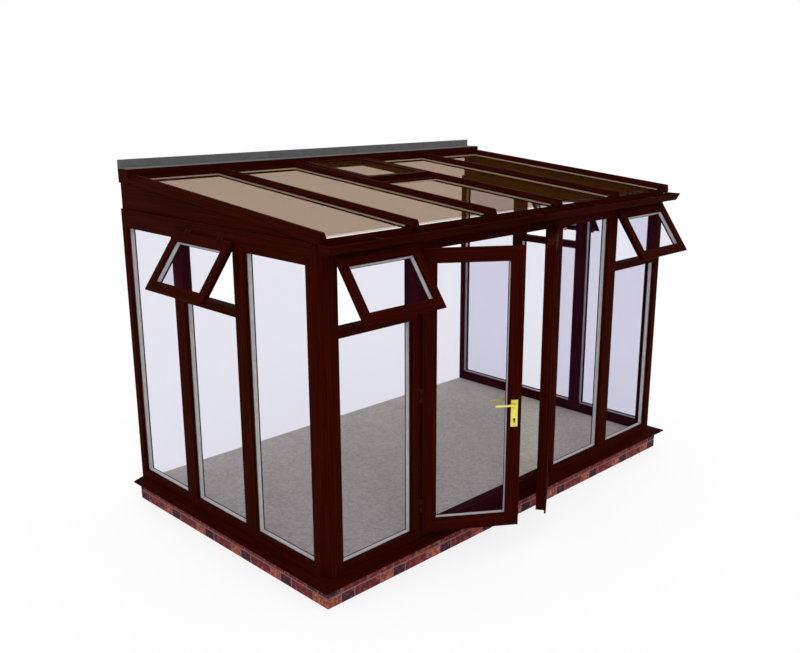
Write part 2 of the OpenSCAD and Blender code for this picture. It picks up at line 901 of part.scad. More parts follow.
module lead_flashing() {
  color(lead_colour) centred() {
    block([frame_inset, wall_plate_face, wall_plate_top],
      [base_length - frame_inset, base_depth, wall_plate_top + flashing_thickness]);
    block([frame_inset, base_depth - flashing_thickness, wall_plate_top],
      [base_length - frame_inset, base_depth, wall_plate_top + flashing_upstand]);
  }
}

// Gutter section, open at the top, with a turned-in front lip
module gutter() {
  back = frame_inset - hairline;
  front = frame_inset - gutter_reach;
  foot = frame_inset - gutter_foot;
  color(foil_colour) centred()
    profile([[back, gutter_top], [back, gutter_base], [foot, gutter_base], [front, gutter_top],
      [front + gutter_lip, gutter_top], [front + gutter_lip, gutter_top - gutter_wall],
      [front + gutter_wall * 2, gutter_top - gutter_wall], [foot + gutter_wall, gutter_base + gutter_wall],
      [back - gutter_wall, gutter_base + gutter_wall], [back - gutter_wall, gutter_top]],
      frame_inset, base_length - frame_inset);
}

module gutter_brackets() {
  front = frame_inset - gutter_reach + gutter_lip + hairline;
  back = frame_inset - gutter_wall - 2 * hairline;
  color(foil_colour) centred() for (i = [0 : roof_bays - 1])
    translate([(i + 0.5) * rafter_pitch + first_rafter, 0, 0])
      block([-strap_width / 2, front, gutter_top - strap_thickness], [strap_width / 2, back, gutter_top]);
}

module gutter_stop_ends() {
  margin = 1;
  back = frame_inset - hairline;
  front = frame_inset - gutter_reach - margin;
  foot = frame_inset - gutter_foot - margin;
  color(foil_colour) centred()
    for (x = [frame_inset - stop_end_thickness - hairline, base_length - frame_inset + hairline])
      profile([[back, gutter_top + margin], [back, gutter_base - margin], [foot, gutter_base - margin],
        [front, gutter_top + margin]], x, x + stop_end_thickness);
}

// Roof vent
module kerb_side(x, outwards) {
  outer = x - outwards * (cap_width / 2 + vent_side_gap - pane_margin);
  inner = x + outwards * (kerb_overlap + kerb_width);
  upstand = x + outwards * kerb_overlap;
  block([min(outer, inner), vent_start + kerb_overlap + kerb_width + hairline, -roof_unit],
    [max(outer, inner), vent_end - kerb_overlap - kerb_width - hairline, 0]);
  block([min(upstand, inner), vent_start + kerb_overlap + kerb_width + hairline, -over],
    [max(upstand, inner), vent_end - kerb_overlap - kerb_width - hairline, kerb_top]);
}

module kerb_end(from, to, upstand_from, upstand_to) {
  left = rafter_x(vent_bay) + pane_margin;
  right = rafter_x(vent_bay + 1) - pane_margin;
  block([left, from, -roof_unit], [right, to, 0]);
  block([vent_left + kerb_overlap, upstand_from, -over],
    [vent_left + vent_width - kerb_overlap, upstand_to, kerb_top]);
}

module vent_kerb() {
  crossbar = vent_start - vent_crossbar;
  color(foil_colour) centred() on_slope() {
    kerb_side(vent_left, 1);
    kerb_side(vent_left + vent_width, -1);
    kerb_end(crossbar + glass_bite + 2, vent_start + kerb_overlap + kerb_width,
      vent_start + kerb_overlap, vent_start + kerb_overlap + kerb_width);
    block([rafter_x(vent_bay) + cap_width / 2 + hairline, crossbar, hairline],
      [rafter_x(vent_bay + 1) - cap_width / 2 - hairline, vent_start - vent_front_gap, vent_crossbar_height]);
    kerb_end(vent_end - kerb_overlap - kerb_width, slope_run - pane_end_gap,
      vent_end - kerb_overlap - kerb_width, vent_end - kerb_overlap);
  }
}

module vent_sash() {
  reach = glass_bite + 1;
  color(foil_colour) centred() {
    on_vent() difference() {
      mitred_bars(0, vent_width, vent_start, vent_end, vent_bar, vent_bar, vent_bar, 0, vent_frame_depth);
      block([vent_bar - reach, vent_lip, vent_start + vent_bar - reach],
        [vent_width - vent_bar + reach, vent_frame_depth + over, vent_end - vent_bar + reach]);
    }
    at_vent_hinges() vent_hinge_moving();
  }
}

module vent_glass() {
  color(bronze_glass_colour) centred() on_vent()
    sheets(vent_bar, vent_width - vent_bar, vent_start + vent_bar, vent_end - vent_bar, vent_lip + hairline,
      vent_unit);
}

// The two fixed knuckles of a small hinge, with the space between them left for the moving one
module fixed_knuckles(radius, y, z) {
  both_ends([1, 0, 0]) rod_x(radius, small_middle / 2 + small_knuckle_gap, small_hinge_length / 2, y, z);
}

module fixed_plates(y_from, z_from, y_to, z_to) {
  both_ends([1, 0, 0])
    block([small_middle / 2 + small_knuckle_gap, y_from, z_from], [small_hinge_length / 2, y_to, z_to]);
}

module middle_plate(y_from, z_from, y_to, z_to) {
  block([-small_middle / 2, y_from, z_from], [small_middle / 2, y_to, z_to]);
}

module vent_hinge_moving() {
  difference() {
    union() {
      rod_x(vent_knuckle, -small_middle / 2, small_middle / 2, 0, vent_axis_height);
      middle_plate(-vent_hinge_wing, vent_top, vent_pin + over, vent_top + vent_hinge_plate);
    }
    rod_x(vent_pin + pin_play, -small_middle, small_middle, 0, vent_axis_height);
  }
}

module vent_hinge_fixed() {
  back = slope_run - vent_end + pane_end_gap;
  difference() {
    union() {
      fixed_knuckles(vent_knuckle, 0, vent_axis_height);
      fixed_plates(0, vent_axis_height - vent_hinge_plate / 2, back, vent_axis_height + vent_hinge_plate / 2);
    }
    rod_x(vent_pin, -small_hinge_length, small_hinge_length, 0, vent_axis_height);
  }
}

module at_vent_hinges() {
  on_slope() for (side = [-1, 1])
    translate([vent_left + vent_width / 2 + side * vent_hinge_spread, vent_end, 0]) children();
}

// Fanlights, drawn closed in wall coordinates
module fan_body(width) {
  left = jamb + sash_play;
  right = width - jamb - sash_play;
  bottom = fan_bottom + sash_play;
  top = fan_top - sash_play;
  flange_left = jamb - fan_side_overlap;
  flange_right = width - jamb + fan_side_overlap;
  flange_bottom = fan_bottom - fan_overlap;
  sight_side = flange_left + sash_bar;
  sight_bottom = flange_bottom + sash_rail;
  sight_top = fan_flange_top - sash_rail;
  glass_from = flange_front + sash_lip_depth + outer_gasket;
  difference() {
    union() {
      difference() {
        union() {
          block([flange_left, flange_front, flange_bottom], [flange_right, -flange_gap, fan_flange_top]);
          block([left, -flange_gap - over, bottom], [right, sash_depth, top]);
        }
        block([sight_side, flange_front - over, sight_bottom],
          [width - sight_side, sash_depth + over, sight_top]);
        glazing_rebate(sight_side, width - sight_side, sight_bottom, sight_top,
          flange_front + sash_lip_depth, sash_depth);
        rod_y(fan_spindle + pin_play, sash_depth - fan_spindle_hole, sash_depth + over,
          width / 2, fan_handle_z);
      }
      beads(sight_side, width - sight_side, sight_bottom, sight_top,
        glass_from + sash_unit + inner_gasket, sash_depth);
      sash_seals(sight_side, width - sight_side, sight_bottom, sight_top);
    }
    mitre_cuts(flange_left, flange_right, flange_bottom, fan_flange_top, sash_bar, sash_rail, sash_rail,
      flange_front - over, sash_depth + over);
  }
  at_fan_hinges(width) fan_hinge_moving();
}

module fan_glass(width) {
  left = jamb - fan_side_overlap + sash_bar;
  bottom = fan_bottom - fan_overlap + sash_rail;
  top = fan_flange_top - sash_rail;
  from = flange_front + sash_lip_depth + outer_gasket;
  sheets(left, width - left, bottom, top, from, sash_unit);
  spacer(left, width - left, bottom, top, from, sash_unit);
}

module fan_handle(width) {
  x = width / 2;
  face = sash_depth + fan_handle_depth;
  rod_y(fan_spindle, sash_depth - fan_spindle_hole + over, sash_depth + over, x, fan_handle_z);
  rod_y(fan_handle_boss, sash_depth + hairline, face, x, fan_handle_z);
  block([x, face - fan_handle_grip, fan_handle_z - fan_handle_grip / 2],
    [x + fan_handle_length, face, fan_handle_z + fan_handle_grip / 2]);
}

module at_fan_hinges(width) {
  for (side = [-1, 1]) translate([width / 2 + side * fan_hinge_spread, 0, 0]) children();
}

// The moving half reaches up from the face of the sash to the pin
module fan_hinge_moving() {
  difference() {
    union() {
      rod_x(fan_knuckle, -small_middle / 2, small_middle / 2, fan_axis_depth, fan_axis_z);
      middle_plate(flange_front - small_plate, fan_flange_top - fan_hinge_wing, flange_front, fan_axis_z);
      middle_plate(flange_front - small_plate, fan_axis_z - 2 * small_plate, fan_axis_depth, fan_axis_z);
    }
    rod_x(fan_pin + pin_play, -small_middle, small_middle, fan_axis_depth, fan_axis_z);
  }
}

// The fixed half lies on the face of the head of the frame
module fan_hinge_fixed() {
  foot = fan_axis_z + small_plate;
  difference() {
    union() {
      fixed_knuckles(fan_knuckle, fan_axis_depth, fan_axis_z);
      fixed_plates(fan_axis_depth, foot, -hairline, fan_axis_z + fan_knuckle);
      fixed_plates(-small_plate, foot, -hairline, fan_axis_z + fan_hinge_lap);
    }
    rod_x(fan_pin, -small_hinge_length, small_hinge_length, fan_axis_depth, fan_axis_z);
  }
}

// Each fanlight is posed about its own hinge line
module front_fan(bay) {
  centred() on_front(bays_x + bay * front_pitch) swung(fan_axis_depth, fan_axis_z, fanlight_angle) children();
}

module left_fan() {
  centred() on_left(1) swung(fan_axis_depth, fan_axis_z, fanlight_angle) children();
}

module right_fan() {
  centred() on_right(1) swung(fan_axis_depth, fan_axis_z, fanlight_angle) children();
}

module left_front_fanlight() { color(foil_colour) front_fan(0) fan_body(front_pitch); }
module left_front_fanlight_glass() { color(glass_colour) front_fan(0) fan_glass(front_pitch); }
module left_front_fanlight_handle() { color(brass_colour) front_fan(0) fan_handle(front_pitch); }
module right_front_fanlight() { color(foil_colour) front_fan(4) fan_body(front_pitch); }
module right_front_fanlight_glass() { color(glass_colour) front_fan(4) fan_glass(front_pitch); }
module right_front_fanlight_handle() { color(brass_colour) front_fan(4) fan_handle(front_pitch); }
module left_side_fanlight() { color(foil_colour) left_fan() fan_body(side_pitch); }
module left_side_fanlight_glass() { color(glass_colour) left_fan() fan_glass(side_pitch); }
module left_side_fanlight_handle() { color(brass_colour) left_fan() fan_handle(side_pitch); }
module right_side_fanlight() { color(foil_colour) right_fan() fan_body(side_pitch); }
module right_side_fanlight_glass() { color(glass_colour) right_fan() fan_glass(side_pitch); }
module right_side_fanlight_handle() { color(brass_colour) right_fan() fan_handle(side_pitch); }

// Door leaves, drawn closed in the coordinates of the door frame
module leaf_frame() {
  difference() {
    union() {
      difference() {
        union() {
          block([leaf_left, flange_front, leaf_flange_bottom], [leaf_right(), -flange_gap, leaf_flange_top]);
          block([jamb + sash_play, -flange_gap - over, door_bottom], [body_right(), leaf_depth, door_top]);
        }
        block([leaf_sight_left, flange_front - over, leaf_sight_bottom],
          [leaf_sight_right(), leaf_depth + over, leaf_sight_top]);
        glazing_rebate(leaf_sight_left, leaf_sight_right(), leaf_sight_bottom, leaf_sight_top,
          flange_front + sash_lip_depth, leaf_depth);
        children();
      }
      beads(leaf_sight_left, leaf_sight_right(), leaf_sight_bottom, leaf_sight_top,
        leaf_glass_depth + sash_unit + inner_gasket, leaf_depth);
      sash_seals(leaf_sight_left, leaf_sight_right(), leaf_sight_bottom, leaf_sight_top);
    }
    mitre_cuts(leaf_left, leaf_right(), leaf_flange_bottom, leaf_flange_top, stile, stile, top_rail,
      flange_front - over, leaf_depth + over);
  }
  for (level = door_hinge_levels) translate([0, 0, level]) door_hinge_moving();
}

module leaf_glass() {
  sheets(leaf_sight_left, leaf_sight_right(), leaf_sight_bottom, leaf_sight_top, leaf_glass_depth, sash_unit);
}

module leaf_spacer() {
  spacer(leaf_sight_left, leaf_sight_right(), leaf_sight_bottom, leaf_sight_top, leaf_glass_depth, sash_unit);
}

module door_hinge_moving() {
  half = door_hinge_middle / 2;
  front = flange_front - door_hinge_plate;
  difference() {
    union() {
      rod_z(door_knuckle, -half, half, door_axis_x, door_axis_depth);
      block([door_axis_x, front, -half], [leaf_left + door_hinge_wing, flange_front, half]);
      block([door_axis_x, front, -half],
        [leaf_left - door_knuckle_web, flange_front + 2 * door_knuckle_web, half]);
    }
    rod_z(door_pin + pin_play, -door_hinge_middle, door_hinge_middle, door_axis_x, door_axis_depth);
  }
}

module door_hinge_fixed() {
  from = door_hinge_middle / 2 + door_knuckle_gap;
  to = door_hinge_length / 2 - door_knuckle_gap;
  difference() {
    both_ends([0, 0, 1]) {
      rod_z(door_knuckle, from, to, door_axis_x, door_axis_depth);
      block([door_axis_x - door_hinge_lap, -door_hinge_plate, from], [door_axis_x + door_pin, -hairline, to]);
    }
    rod_z(door_pin, -door_hinge_length, door_hinge_length, door_axis_x, door_axis_depth);
  }
}

module at_door_hinges() {
  on_front(door_x) for (level = door_hinge_levels) {
    translate([0, 0, level]) children();
    translate([door_width, 0, level]) mirror([1, 0, 0]) children();
  }
}

module at_fan_bays() {
  on_front(bays_x) pane_slot(front_pitch, 0) children();
  on_front(bays_x + 4 * front_pitch) pane_slot(front_pitch, 0) children();
  on_both_sides(1) pane_slot(side_pitch, 0) children();
}

module fixed_hinge_halves() {
  color(dark_metal_colour) centred() {
    at_door_hinges() door_hinge_fixed();
    at_fan_bays() at_fan_hinges($pane_width) fan_hinge_fixed();
    at_vent_hinges() vent_hinge_fixed();
  }
}

module hinge_pins() {
  color(dark_metal_colour) centred() {
    at_door_hinges()
      rod_z(door_pin, -door_hinge_length / 2, door_hinge_length / 2, door_axis_x, door_axis_depth);
    at_fan_bays() at_fan_hinges($pane_width)
      rod_x(fan_pin, -small_hinge_length / 2, small_hinge_length / 2, fan_axis_depth, fan_axis_z);
    at_vent_hinges() rod_x(vent_pin, -small_hinge_length / 2, small_hinge_length / 2, 0, vent_axis_height);
  }
}

// Body of the lock case, or the pocket for it when it is given some play and an open end
module lock_body(play, open_end) {
  half = lock_case_thickness / 2 + play;
  block([lock_x() - lock_case_reach - play, leaf_middle - half, lock_case_bottom - play],
    [body_right() + open_end, leaf_middle + half, lock_case_bottom + lock_case_height + play]);
}

// Cuts in the left leaf for the lock, the cylinder and the spindle
module lock_cuts() {
  lock_body(hairline, over);
  rod_y(spindle + pin_play, flange_front - over, leaf_depth + over, lock_x(), lever_height);
  cylinder_shape(flange_front - over, leaf_depth + over, cylinder_play);
}

// Outline of the key cylinder, a barrel with a narrow lower part
module cylinder_shape(from, to, play) {
  half = cylinder_web / 2 + play;
  rod_y(cylinder_radius + play, from, to, lock_x(), cylinder_level);
  block([lock_x() - half, from, cylinder_level - cylinder_web_drop - play],
    [lock_x() + half, to, cylinder_level]);
}

module left_leaf() {
  color(foil_colour) left_leaf_pose() leaf_frame() lock_cuts();
}

module left_leaf_glass() {
  color(glass_colour) left_leaf_pose() leaf_glass();
}

module left_leaf_spacers() {
  color(spacer_colour) left_leaf_pose() leaf_spacer();
}

module door_backplates() {
  half = backplate_width / 2;
  color(brass_colour) left_leaf_pose() difference() {
    for (from = [flange_front - backplate_thickness, leaf_depth])
      block([lock_x() - half, from, backplate_bottom],
        [lock_x() + half, from + backplate_thickness, backplate_bottom + backplate_height]);
    rod_y(lever_neck + pin_play, flange_front - far, leaf_depth + far, lock_x(), lever_height);
    cylinder_shape(flange_front - far, leaf_depth + far, cylinder_play);
  }
}

module lock_case() {
  slot = latch_thickness / 2 + latch_play;
  color(steel_colour) left_leaf_pose() difference() {
    lock_body(0, 0);
    rod_y(spindle + pin_play, 0, leaf_depth, lock_x(), lever_height);
    cylinder_shape(0, leaf_depth, cylinder_play);
    block([lock_x() + latch_slot_start, leaf_middle - slot, latch_bottom - latch_play],
      [body_right() + over, leaf_middle + slot, latch_bottom + latch_height + latch_play]);
  }
}

module lock_cylinder() {
  proud = backplate_thickness + cylinder_proud;
  color(dark_metal_colour) left_leaf_pose() cylinder_shape(flange_front - proud, leaf_depth + proud, 0);
}

module lever(direction, face) {
  arm = face + direction * lever_reach;
  seat = face + direction * hairline;
  grip = lever_neck - 1;
  rod_y(lever_neck, min(seat, arm), max(seat, arm), lock_x(), lever_height);
  translate([lock_x() - lever_length + lever_neck, arm - direction * lever_neck, lever_height]) {
    rotate([0, 90, 0]) cylinder(h = lever_length - lever_neck, r = grip, $fn = 48);
    sphere(r = grip, $fn = 48);
  }
}

module door_levers() {
  color(brass_colour) left_leaf_pose() {
    rod_y(spindle, flange_front - over, leaf_depth + over, lock_x(), lever_height);
    lever(-1, flange_front);
    lever(1, leaf_depth);
  }
}

module latch_bolt() {
  half = latch_thickness / 2;
  color(steel_colour) left_leaf_pose()
    block([body_right() + latch_throw - latch_length, leaf_middle - half, latch_bottom],
      [body_right() + latch_throw, leaf_middle + half, latch_bottom + latch_height]);
}

// Pocket for the latch in the meeting edge of the right leaf, and the bores of its bolts
module right_leaf_cuts() {
  reach = latch_throw + keep_end_gap;
  half = latch_thickness / 2 + keep_play;
  block([body_right() - reach, leaf_middle - half, latch_bottom - 2 * keep_play],
    [body_right() + over, leaf_middle + half, latch_bottom + latch_height + 2 * keep_play]);
  bore = bolt_length + bolt_travel;
  for (span = [[door_top - bore, door_top + over], [door_bottom - over, door_bottom + bore]])
    rod_z(bolt_radius + pin_play, span[0], span[1], shoot_bolt_x(), leaf_middle);
}

module right_leaf() {
  color(foil_colour) right_leaf_pose() leaf_frame() right_leaf_cuts();
}

module right_leaf_glass() {
  color(glass_colour) right_leaf_pose() leaf_glass();
}

module right_leaf_spacers() {
  color(spacer_colour) right_leaf_pose() leaf_spacer();
}

// The false mullion stands on the right leaf and laps over the inner edge of the left leaf
module false_mullion() {
  color(foil_colour) right_leaf_pose() difference() {
    block([mullion_left(), leaf_depth, door_bottom + mullion_margin],
      [mullion_left() + mullion_width, leaf_depth + mullion_thickness, door_top - mullion_margin]);
    block([body_right(), leaf_depth - over, door_bottom],
      [mullion_left() + mullion_width + over, leaf_depth + mullion_play, door_top]);
  }
}

module top_shoot_bolt() {
  top = door_top - bolt_rest;
  color(steel_colour) right_leaf_pose()
    rod_z(bolt_radius, top - bolt_length, top, shoot_bolt_x(), leaf_middle);
}

module bottom_shoot_bolt() {
  bottom = door_bottom + bolt_rest;
  color(steel_colour) right_leaf_pose()
    rod_z(bolt_radius, bottom, bottom + bolt_length, shoot_bolt_x(), leaf_middle);
}

floor_slab();
floor_covering();
bricks();
mortar();
damp_proof_strip();
sills();
corner_posts();
side_frames();
front_frames();
door_frame();
head_extensions();
ring_beam();
wall_panes();
spacer_bars();
glazing_gaskets();
glazing_beads();
gable_panels();
rafters();
rafter_caps();
rafter_end_caps();
eaves_upstands();
eaves_closures();
roof_panes();
wall_plate();
lead_flashing();
gutter();
gutter_brackets();
gutter_stop_ends();
vent_kerb();
fixed_hinge_halves();
hinge_pins();
vent_sash();
vent_glass();
left_leaf();
left_leaf_glass();
left_leaf_spacers();
door_backplates();
lock_case();
lock_cylinder();
door_levers();
latch_bolt();
right_leaf();
right_leaf_glass();
right_leaf_spacers();
false_mullion();
top_shoot_bolt();
bottom_shoot_bolt();
left_front_fanlight();
left_front_fanlight_glass();
left_front_fanlight_handle();
right_front_fanlight();
right_front_fanlight_glass();
right_front_fanlight_handle();
left_side_fanlight();
left_side_fanlight_glass();
left_side_fanlight_handle();
right_side_fanlight();
right_side_fanlight_glass();
right_side_fanlight_handle();
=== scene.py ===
"""Finishes, brickwork, fixings, light and camera for the lean-to conservatory.

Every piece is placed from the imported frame, in metres: x runs along the front, y back to the house
wall, and z up from the ground.
"""

import json
import logging
import math
from collections.abc import Callable
from dataclasses import dataclass
from enum import Enum

import bmesh
import bpy
from mathutils import Matrix, Vector

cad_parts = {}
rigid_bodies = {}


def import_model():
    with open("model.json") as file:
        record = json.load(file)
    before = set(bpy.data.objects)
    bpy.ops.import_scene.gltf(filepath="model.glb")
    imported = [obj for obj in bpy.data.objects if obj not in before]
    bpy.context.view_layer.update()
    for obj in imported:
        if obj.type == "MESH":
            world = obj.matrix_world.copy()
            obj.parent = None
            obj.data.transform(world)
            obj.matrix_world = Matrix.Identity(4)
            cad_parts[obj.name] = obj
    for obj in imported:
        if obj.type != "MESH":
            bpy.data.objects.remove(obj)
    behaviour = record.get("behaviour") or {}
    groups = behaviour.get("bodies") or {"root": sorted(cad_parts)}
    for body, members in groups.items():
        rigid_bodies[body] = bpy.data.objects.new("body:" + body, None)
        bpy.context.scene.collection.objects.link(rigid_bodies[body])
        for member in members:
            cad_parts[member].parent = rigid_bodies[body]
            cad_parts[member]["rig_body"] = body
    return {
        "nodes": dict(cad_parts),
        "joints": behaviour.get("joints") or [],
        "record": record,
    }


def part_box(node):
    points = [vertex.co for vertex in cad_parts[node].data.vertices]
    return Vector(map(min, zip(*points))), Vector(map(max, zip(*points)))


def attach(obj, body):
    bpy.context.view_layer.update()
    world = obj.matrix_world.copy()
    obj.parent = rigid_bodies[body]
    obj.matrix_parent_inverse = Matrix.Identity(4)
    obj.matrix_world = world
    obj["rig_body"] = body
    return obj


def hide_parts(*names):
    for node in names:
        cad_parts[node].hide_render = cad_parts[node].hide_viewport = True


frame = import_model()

LOG = logging.getLogger("conservatory")
MILLIMETRE = 0.001
GRAIN_ATTRIBUTE = "grain"
BRICK_SIZE_ATTRIBUTE = "brick_size"
BRICK_TONE_ATTRIBUTE = "brick_tone"
FACING_ATTRIBUTE = "facing"
ROOT_BODY = "structure"

MERGE_DISTANCE = 0.005 * MILLIMETRE
FLAT_ANGLE = math.radians(0.5)

Colour = tuple[float, float, float]
Stretch = tuple[float, float, float]
Material = bpy.types.Material
Object = bpy.types.Object
Socket = bpy.types.NodeSocket
Faces = list[bmesh.types.BMFace]
BLACK: Colour = (0.0, 0.0, 0.0)
WHITE: Colour = (1.0, 1.0, 1.0)


class BrickTone(Enum):
    """Clay colours of the bricks, as the value that each brick carries; purple also serves as painted shade
    on the upper course.
    """

    ORANGE = 0.15
    RED = 0.5
    PURPLE = 0.85


def linear(red: int, green: int, blue: int) -> Colour:
    """Turns a screen colour into the linear colour that a shader takes.

    Args:
        red: Red from 0 to 255.
        green: Green from 0 to 255.
        blue: Blue from 0 to 255.

    Returns:
        The linear colour, each part from 0 to 1.
    """

    def one(part: int) -> float:
        """Returns one part of the colour in linear light."""
        share = part / 255
        return share / 12.92 if share <= 0.04045 else ((share + 0.055) / 1.055) ** 2.4

    return one(red), one(green), one(blue)


class NodeTree:
    """Short calls that shading trees and geometry trees share."""

    def __init__(self, tree: bpy.types.NodeTree) -> None:
        """Keeps the nodes and the links of a tree.

        Args:
            tree: Blender's node tree.
        """
        self.nodes = tree.nodes
        self.links = tree.links

    def add(self, kind: str, feeds: dict[str | int, object] | None = None,
            **values: object) -> bpy.types.Node:
        """Adds one node.

        Args:
            kind: Blender's name of the node type.
            feeds: Socket or plain value of each input, by the input's name or number.
            values: Properties of the node to set.

        Returns:
            The new node.
        """
        node = self.nodes.new(kind)
        for name, value in values.items():
            setattr(node, name, value)
        for key, source in (feeds or {}).items():
            self.feed(source, node.inputs[key])
        return node

    def join(self, source: Socket, target: Socket) -> None:
        """Links one socket to another."""
        self.links.new(source, target)

    def feed(self, source: object, socket: Socket) -> None:
        """Links a socket or sets a plain value."""
        if isinstance(source, Socket):
            self.join(source, socket)
        else:
            socket.default_value = source


class ShadingTree(NodeTree):
    """Calls that the materials and the world share."""

    def seen(self) -> Socket:
        """Tests for rays that the camera sees, also in a reflection or through glass.

        Returns:
            The socket that is 1 for such a ray and 0 for any other.
        """
        path = self.add("ShaderNodeLightPath")
        found = path.outputs["Is Camera Ray"]
        for ray in ("Is Glossy Ray", "Is Transmission Ray"):
            either = self.add("ShaderNodeMath", {0: found, 1: path.outputs[ray]}, operation="MAXIMUM")
            found = either.outputs["Value"]
        return found

    def mixed(self, share: Socket | float, first: Socket, second: Socket) -> Socket:
        """Mixes two shaders.

        Args:
            share: Share of the second shader, as a socket or a number.
            first: Socket of the first shader.
            second: Socket of the second shader.

        Returns:
            The socket of the mixed shader.
        """
        return self.add("ShaderNodeMixShader", {"Fac": share, 1: first, 2: second}).outputs["Shader"]


class ShaderTree(ShadingTree):
    """A material's node tree, with short calls for the nodes that the finishes use."""

    def __init__(self, name: str) -> None:
        """Starts an empty material.

        Args:
            name: Name of the material.
        """
        self.material = bpy.data.materials.new(name)
        self.material.use_nodes = True
        super().__init__(self.material.node_tree)
        self.nodes.clear()
        self.output = self.add("ShaderNodeOutputMaterial")

    def place(self, stretch: Stretch = (1.0, 1.0, 1.0), attribute: str = "") -> Socket:
        """Gives pattern coordinates, from the object or from an attribute.

        Args:
            stretch: Stretch of the pattern along each axis.
            attribute: Attribute to read in place of the object's own coordinates.

        Returns:
            The socket of the scaled coordinates.
        """
        if attribute:
            source = self.add("ShaderNodeAttribute", attribute_name=attribute).outputs["Vector"]
        else:
            source = self.add("ShaderNodeTexCoord").outputs["Object"]
        return self.add("ShaderNodeMapping", {"Scale": stretch, "Vector": source}).outputs["Vector"]

    def noise(self, where: Socket, scale: float, detail: float, rough: float = 0.55) -> Socket:
        """Adds a noise pattern.

        Args:
            where: Coordinates of the pattern.
            scale: Number of blobs in a unit.
            detail: Levels of finer noise.
            rough: Share of each finer level.

        Returns:
            The socket of the noise value.
        """
        feeds = {"Vector": where, "Scale": scale, "Detail": detail, "Roughness": rough}
        return self.add("ShaderNodeTexNoise", feeds).outputs["Fac"]

    def ramp(self, value: Socket, stops: list[tuple[float, Colour]]) -> Socket:
        """Turns a value into a colour.

        Args:
            value: Socket of the value.
            stops: Place and colour of each stop, from low to high.

        Returns:
            The socket of the colour.
        """
        node = self.add("ShaderNodeValToRGB", {"Fac": value})
        elements = node.color_ramp.elements
        while len(elements) < len(stops):
            elements.new(1.0)
        for element, (place, colour) in zip(elements, stops):
            element.position = place
            element.color = (*colour, 1.0)
        return node.outputs["Color"]

    def blend(self, share: Socket | float, first: Socket, second: Socket, kind: str = "MIX") -> Socket:
        """Mixes two colours.

        Args:
            share: Share of the second colour, as a socket or a number.
            first: Socket of the first colour.
            second: Socket of the second colour.
            kind: Way of mixing.

        Returns:
            The socket of the mixed colour.
        """
        node = self.add("ShaderNodeMix", {"Factor": share}, data_type="RGBA", blend_type=kind)
        colours = [socket for socket in node.inputs if socket.type == "RGBA"]
        self.join(first, colours[0])
        self.join(second, colours[1])
        return next(socket for socket in node.outputs if socket.type == "RGBA")

    def spread(self, value: Socket, low: float, high: float) -> Socket:
        """Maps a value from 0 to 1 onto another range.

        Args:
            value: Socket of the value.
            low: Result at 0.
            high: Result at 1.

        Returns:
            The socket of the mapped value.
        """
        feeds = {"Value": value, "To Min": low, "To Max": high}
        return self.add("ShaderNodeMapRange", feeds).outputs["Result"]

    def bump(self, height: Socket, depth: float, strength: float) -> Socket:
        """Adds a bump from a height.

        Args:
            height: Socket of the height.
            depth: Depth of the relief in metres.
            strength: Strength of the bump.

        Returns:
            The socket of the bent normal.
        """
        feeds = {"Height": height, "Distance": depth, "Strength": strength}
        return self.add("ShaderNodeBump", feeds).outputs["Normal"]

    def principled(self, colour: Socket, rough: Socket, normal: Socket, specular: float,
                   metallic: float = 0.0) -> Material:
        """Closes the tree with one Principled shader.

        Args:
            colour: Socket of the base colour.
            rough: Socket of the roughness.
            normal: Socket of the normal.
            specular: Level of the plain reflection.
            metallic: Share of metal.

        Returns:
            The finished material.
        """
        feeds = {"Base Color": colour, "Roughness": rough, "Normal": normal,
                 "Specular IOR Level": specular, "Metallic": metallic}
        shader = self.add("ShaderNodeBsdfPrincipled", feeds)
        self.join(shader.outputs["BSDF"], self.output.inputs["Surface"])
        return self.material


@dataclass(frozen=True)
class WoodgrainFoil:
    """Dark red-brown foil, printed and embossed with grain that runs along each bar."""

    name: str = "woodgrain_foil"
    darkest: Colour = linear(34, 4, 0)
    middle: Colour = linear(46, 7, 1)
    lightest: Colour = linear(60, 14, 5)
    streak_scale: Stretch = (1.6, 90.0, 90.0)
    fleck_scale: Stretch = (30.0, 420.0, 420.0)

    def material(self) -> Material:
        """Builds the foil.

        Returns:
            The foil material.
        """
        tree = ShaderTree(self.name)
        streaks = tree.noise(tree.place(self.streak_scale, GRAIN_ATTRIBUTE),
                             scale=1.0, detail=5.0, rough=0.6)
        flecks = tree.noise(tree.place(self.fleck_scale, GRAIN_ATTRIBUTE),
                            scale=1.0, detail=2.0, rough=0.5)
        wide = tree.ramp(streaks, [(0.30, self.darkest), (0.52, self.middle), (0.74, self.lightest)])
        fine = tree.ramp(flecks, [(0.35, (0.6, 0.6, 0.6)), (0.6, WHITE)])
        colour = tree.blend(0.55, wide, fine, "MULTIPLY")
        relief = tree.blend(0.5, tree.ramp(streaks, [(0.3, BLACK), (0.7, WHITE)]), fine)
        normal = tree.bump(relief, depth=0.25 * MILLIMETRE, strength=0.35)
        return tree.principled(colour, tree.spread(flecks, low=0.66, high=0.48), normal, specular=0.006)


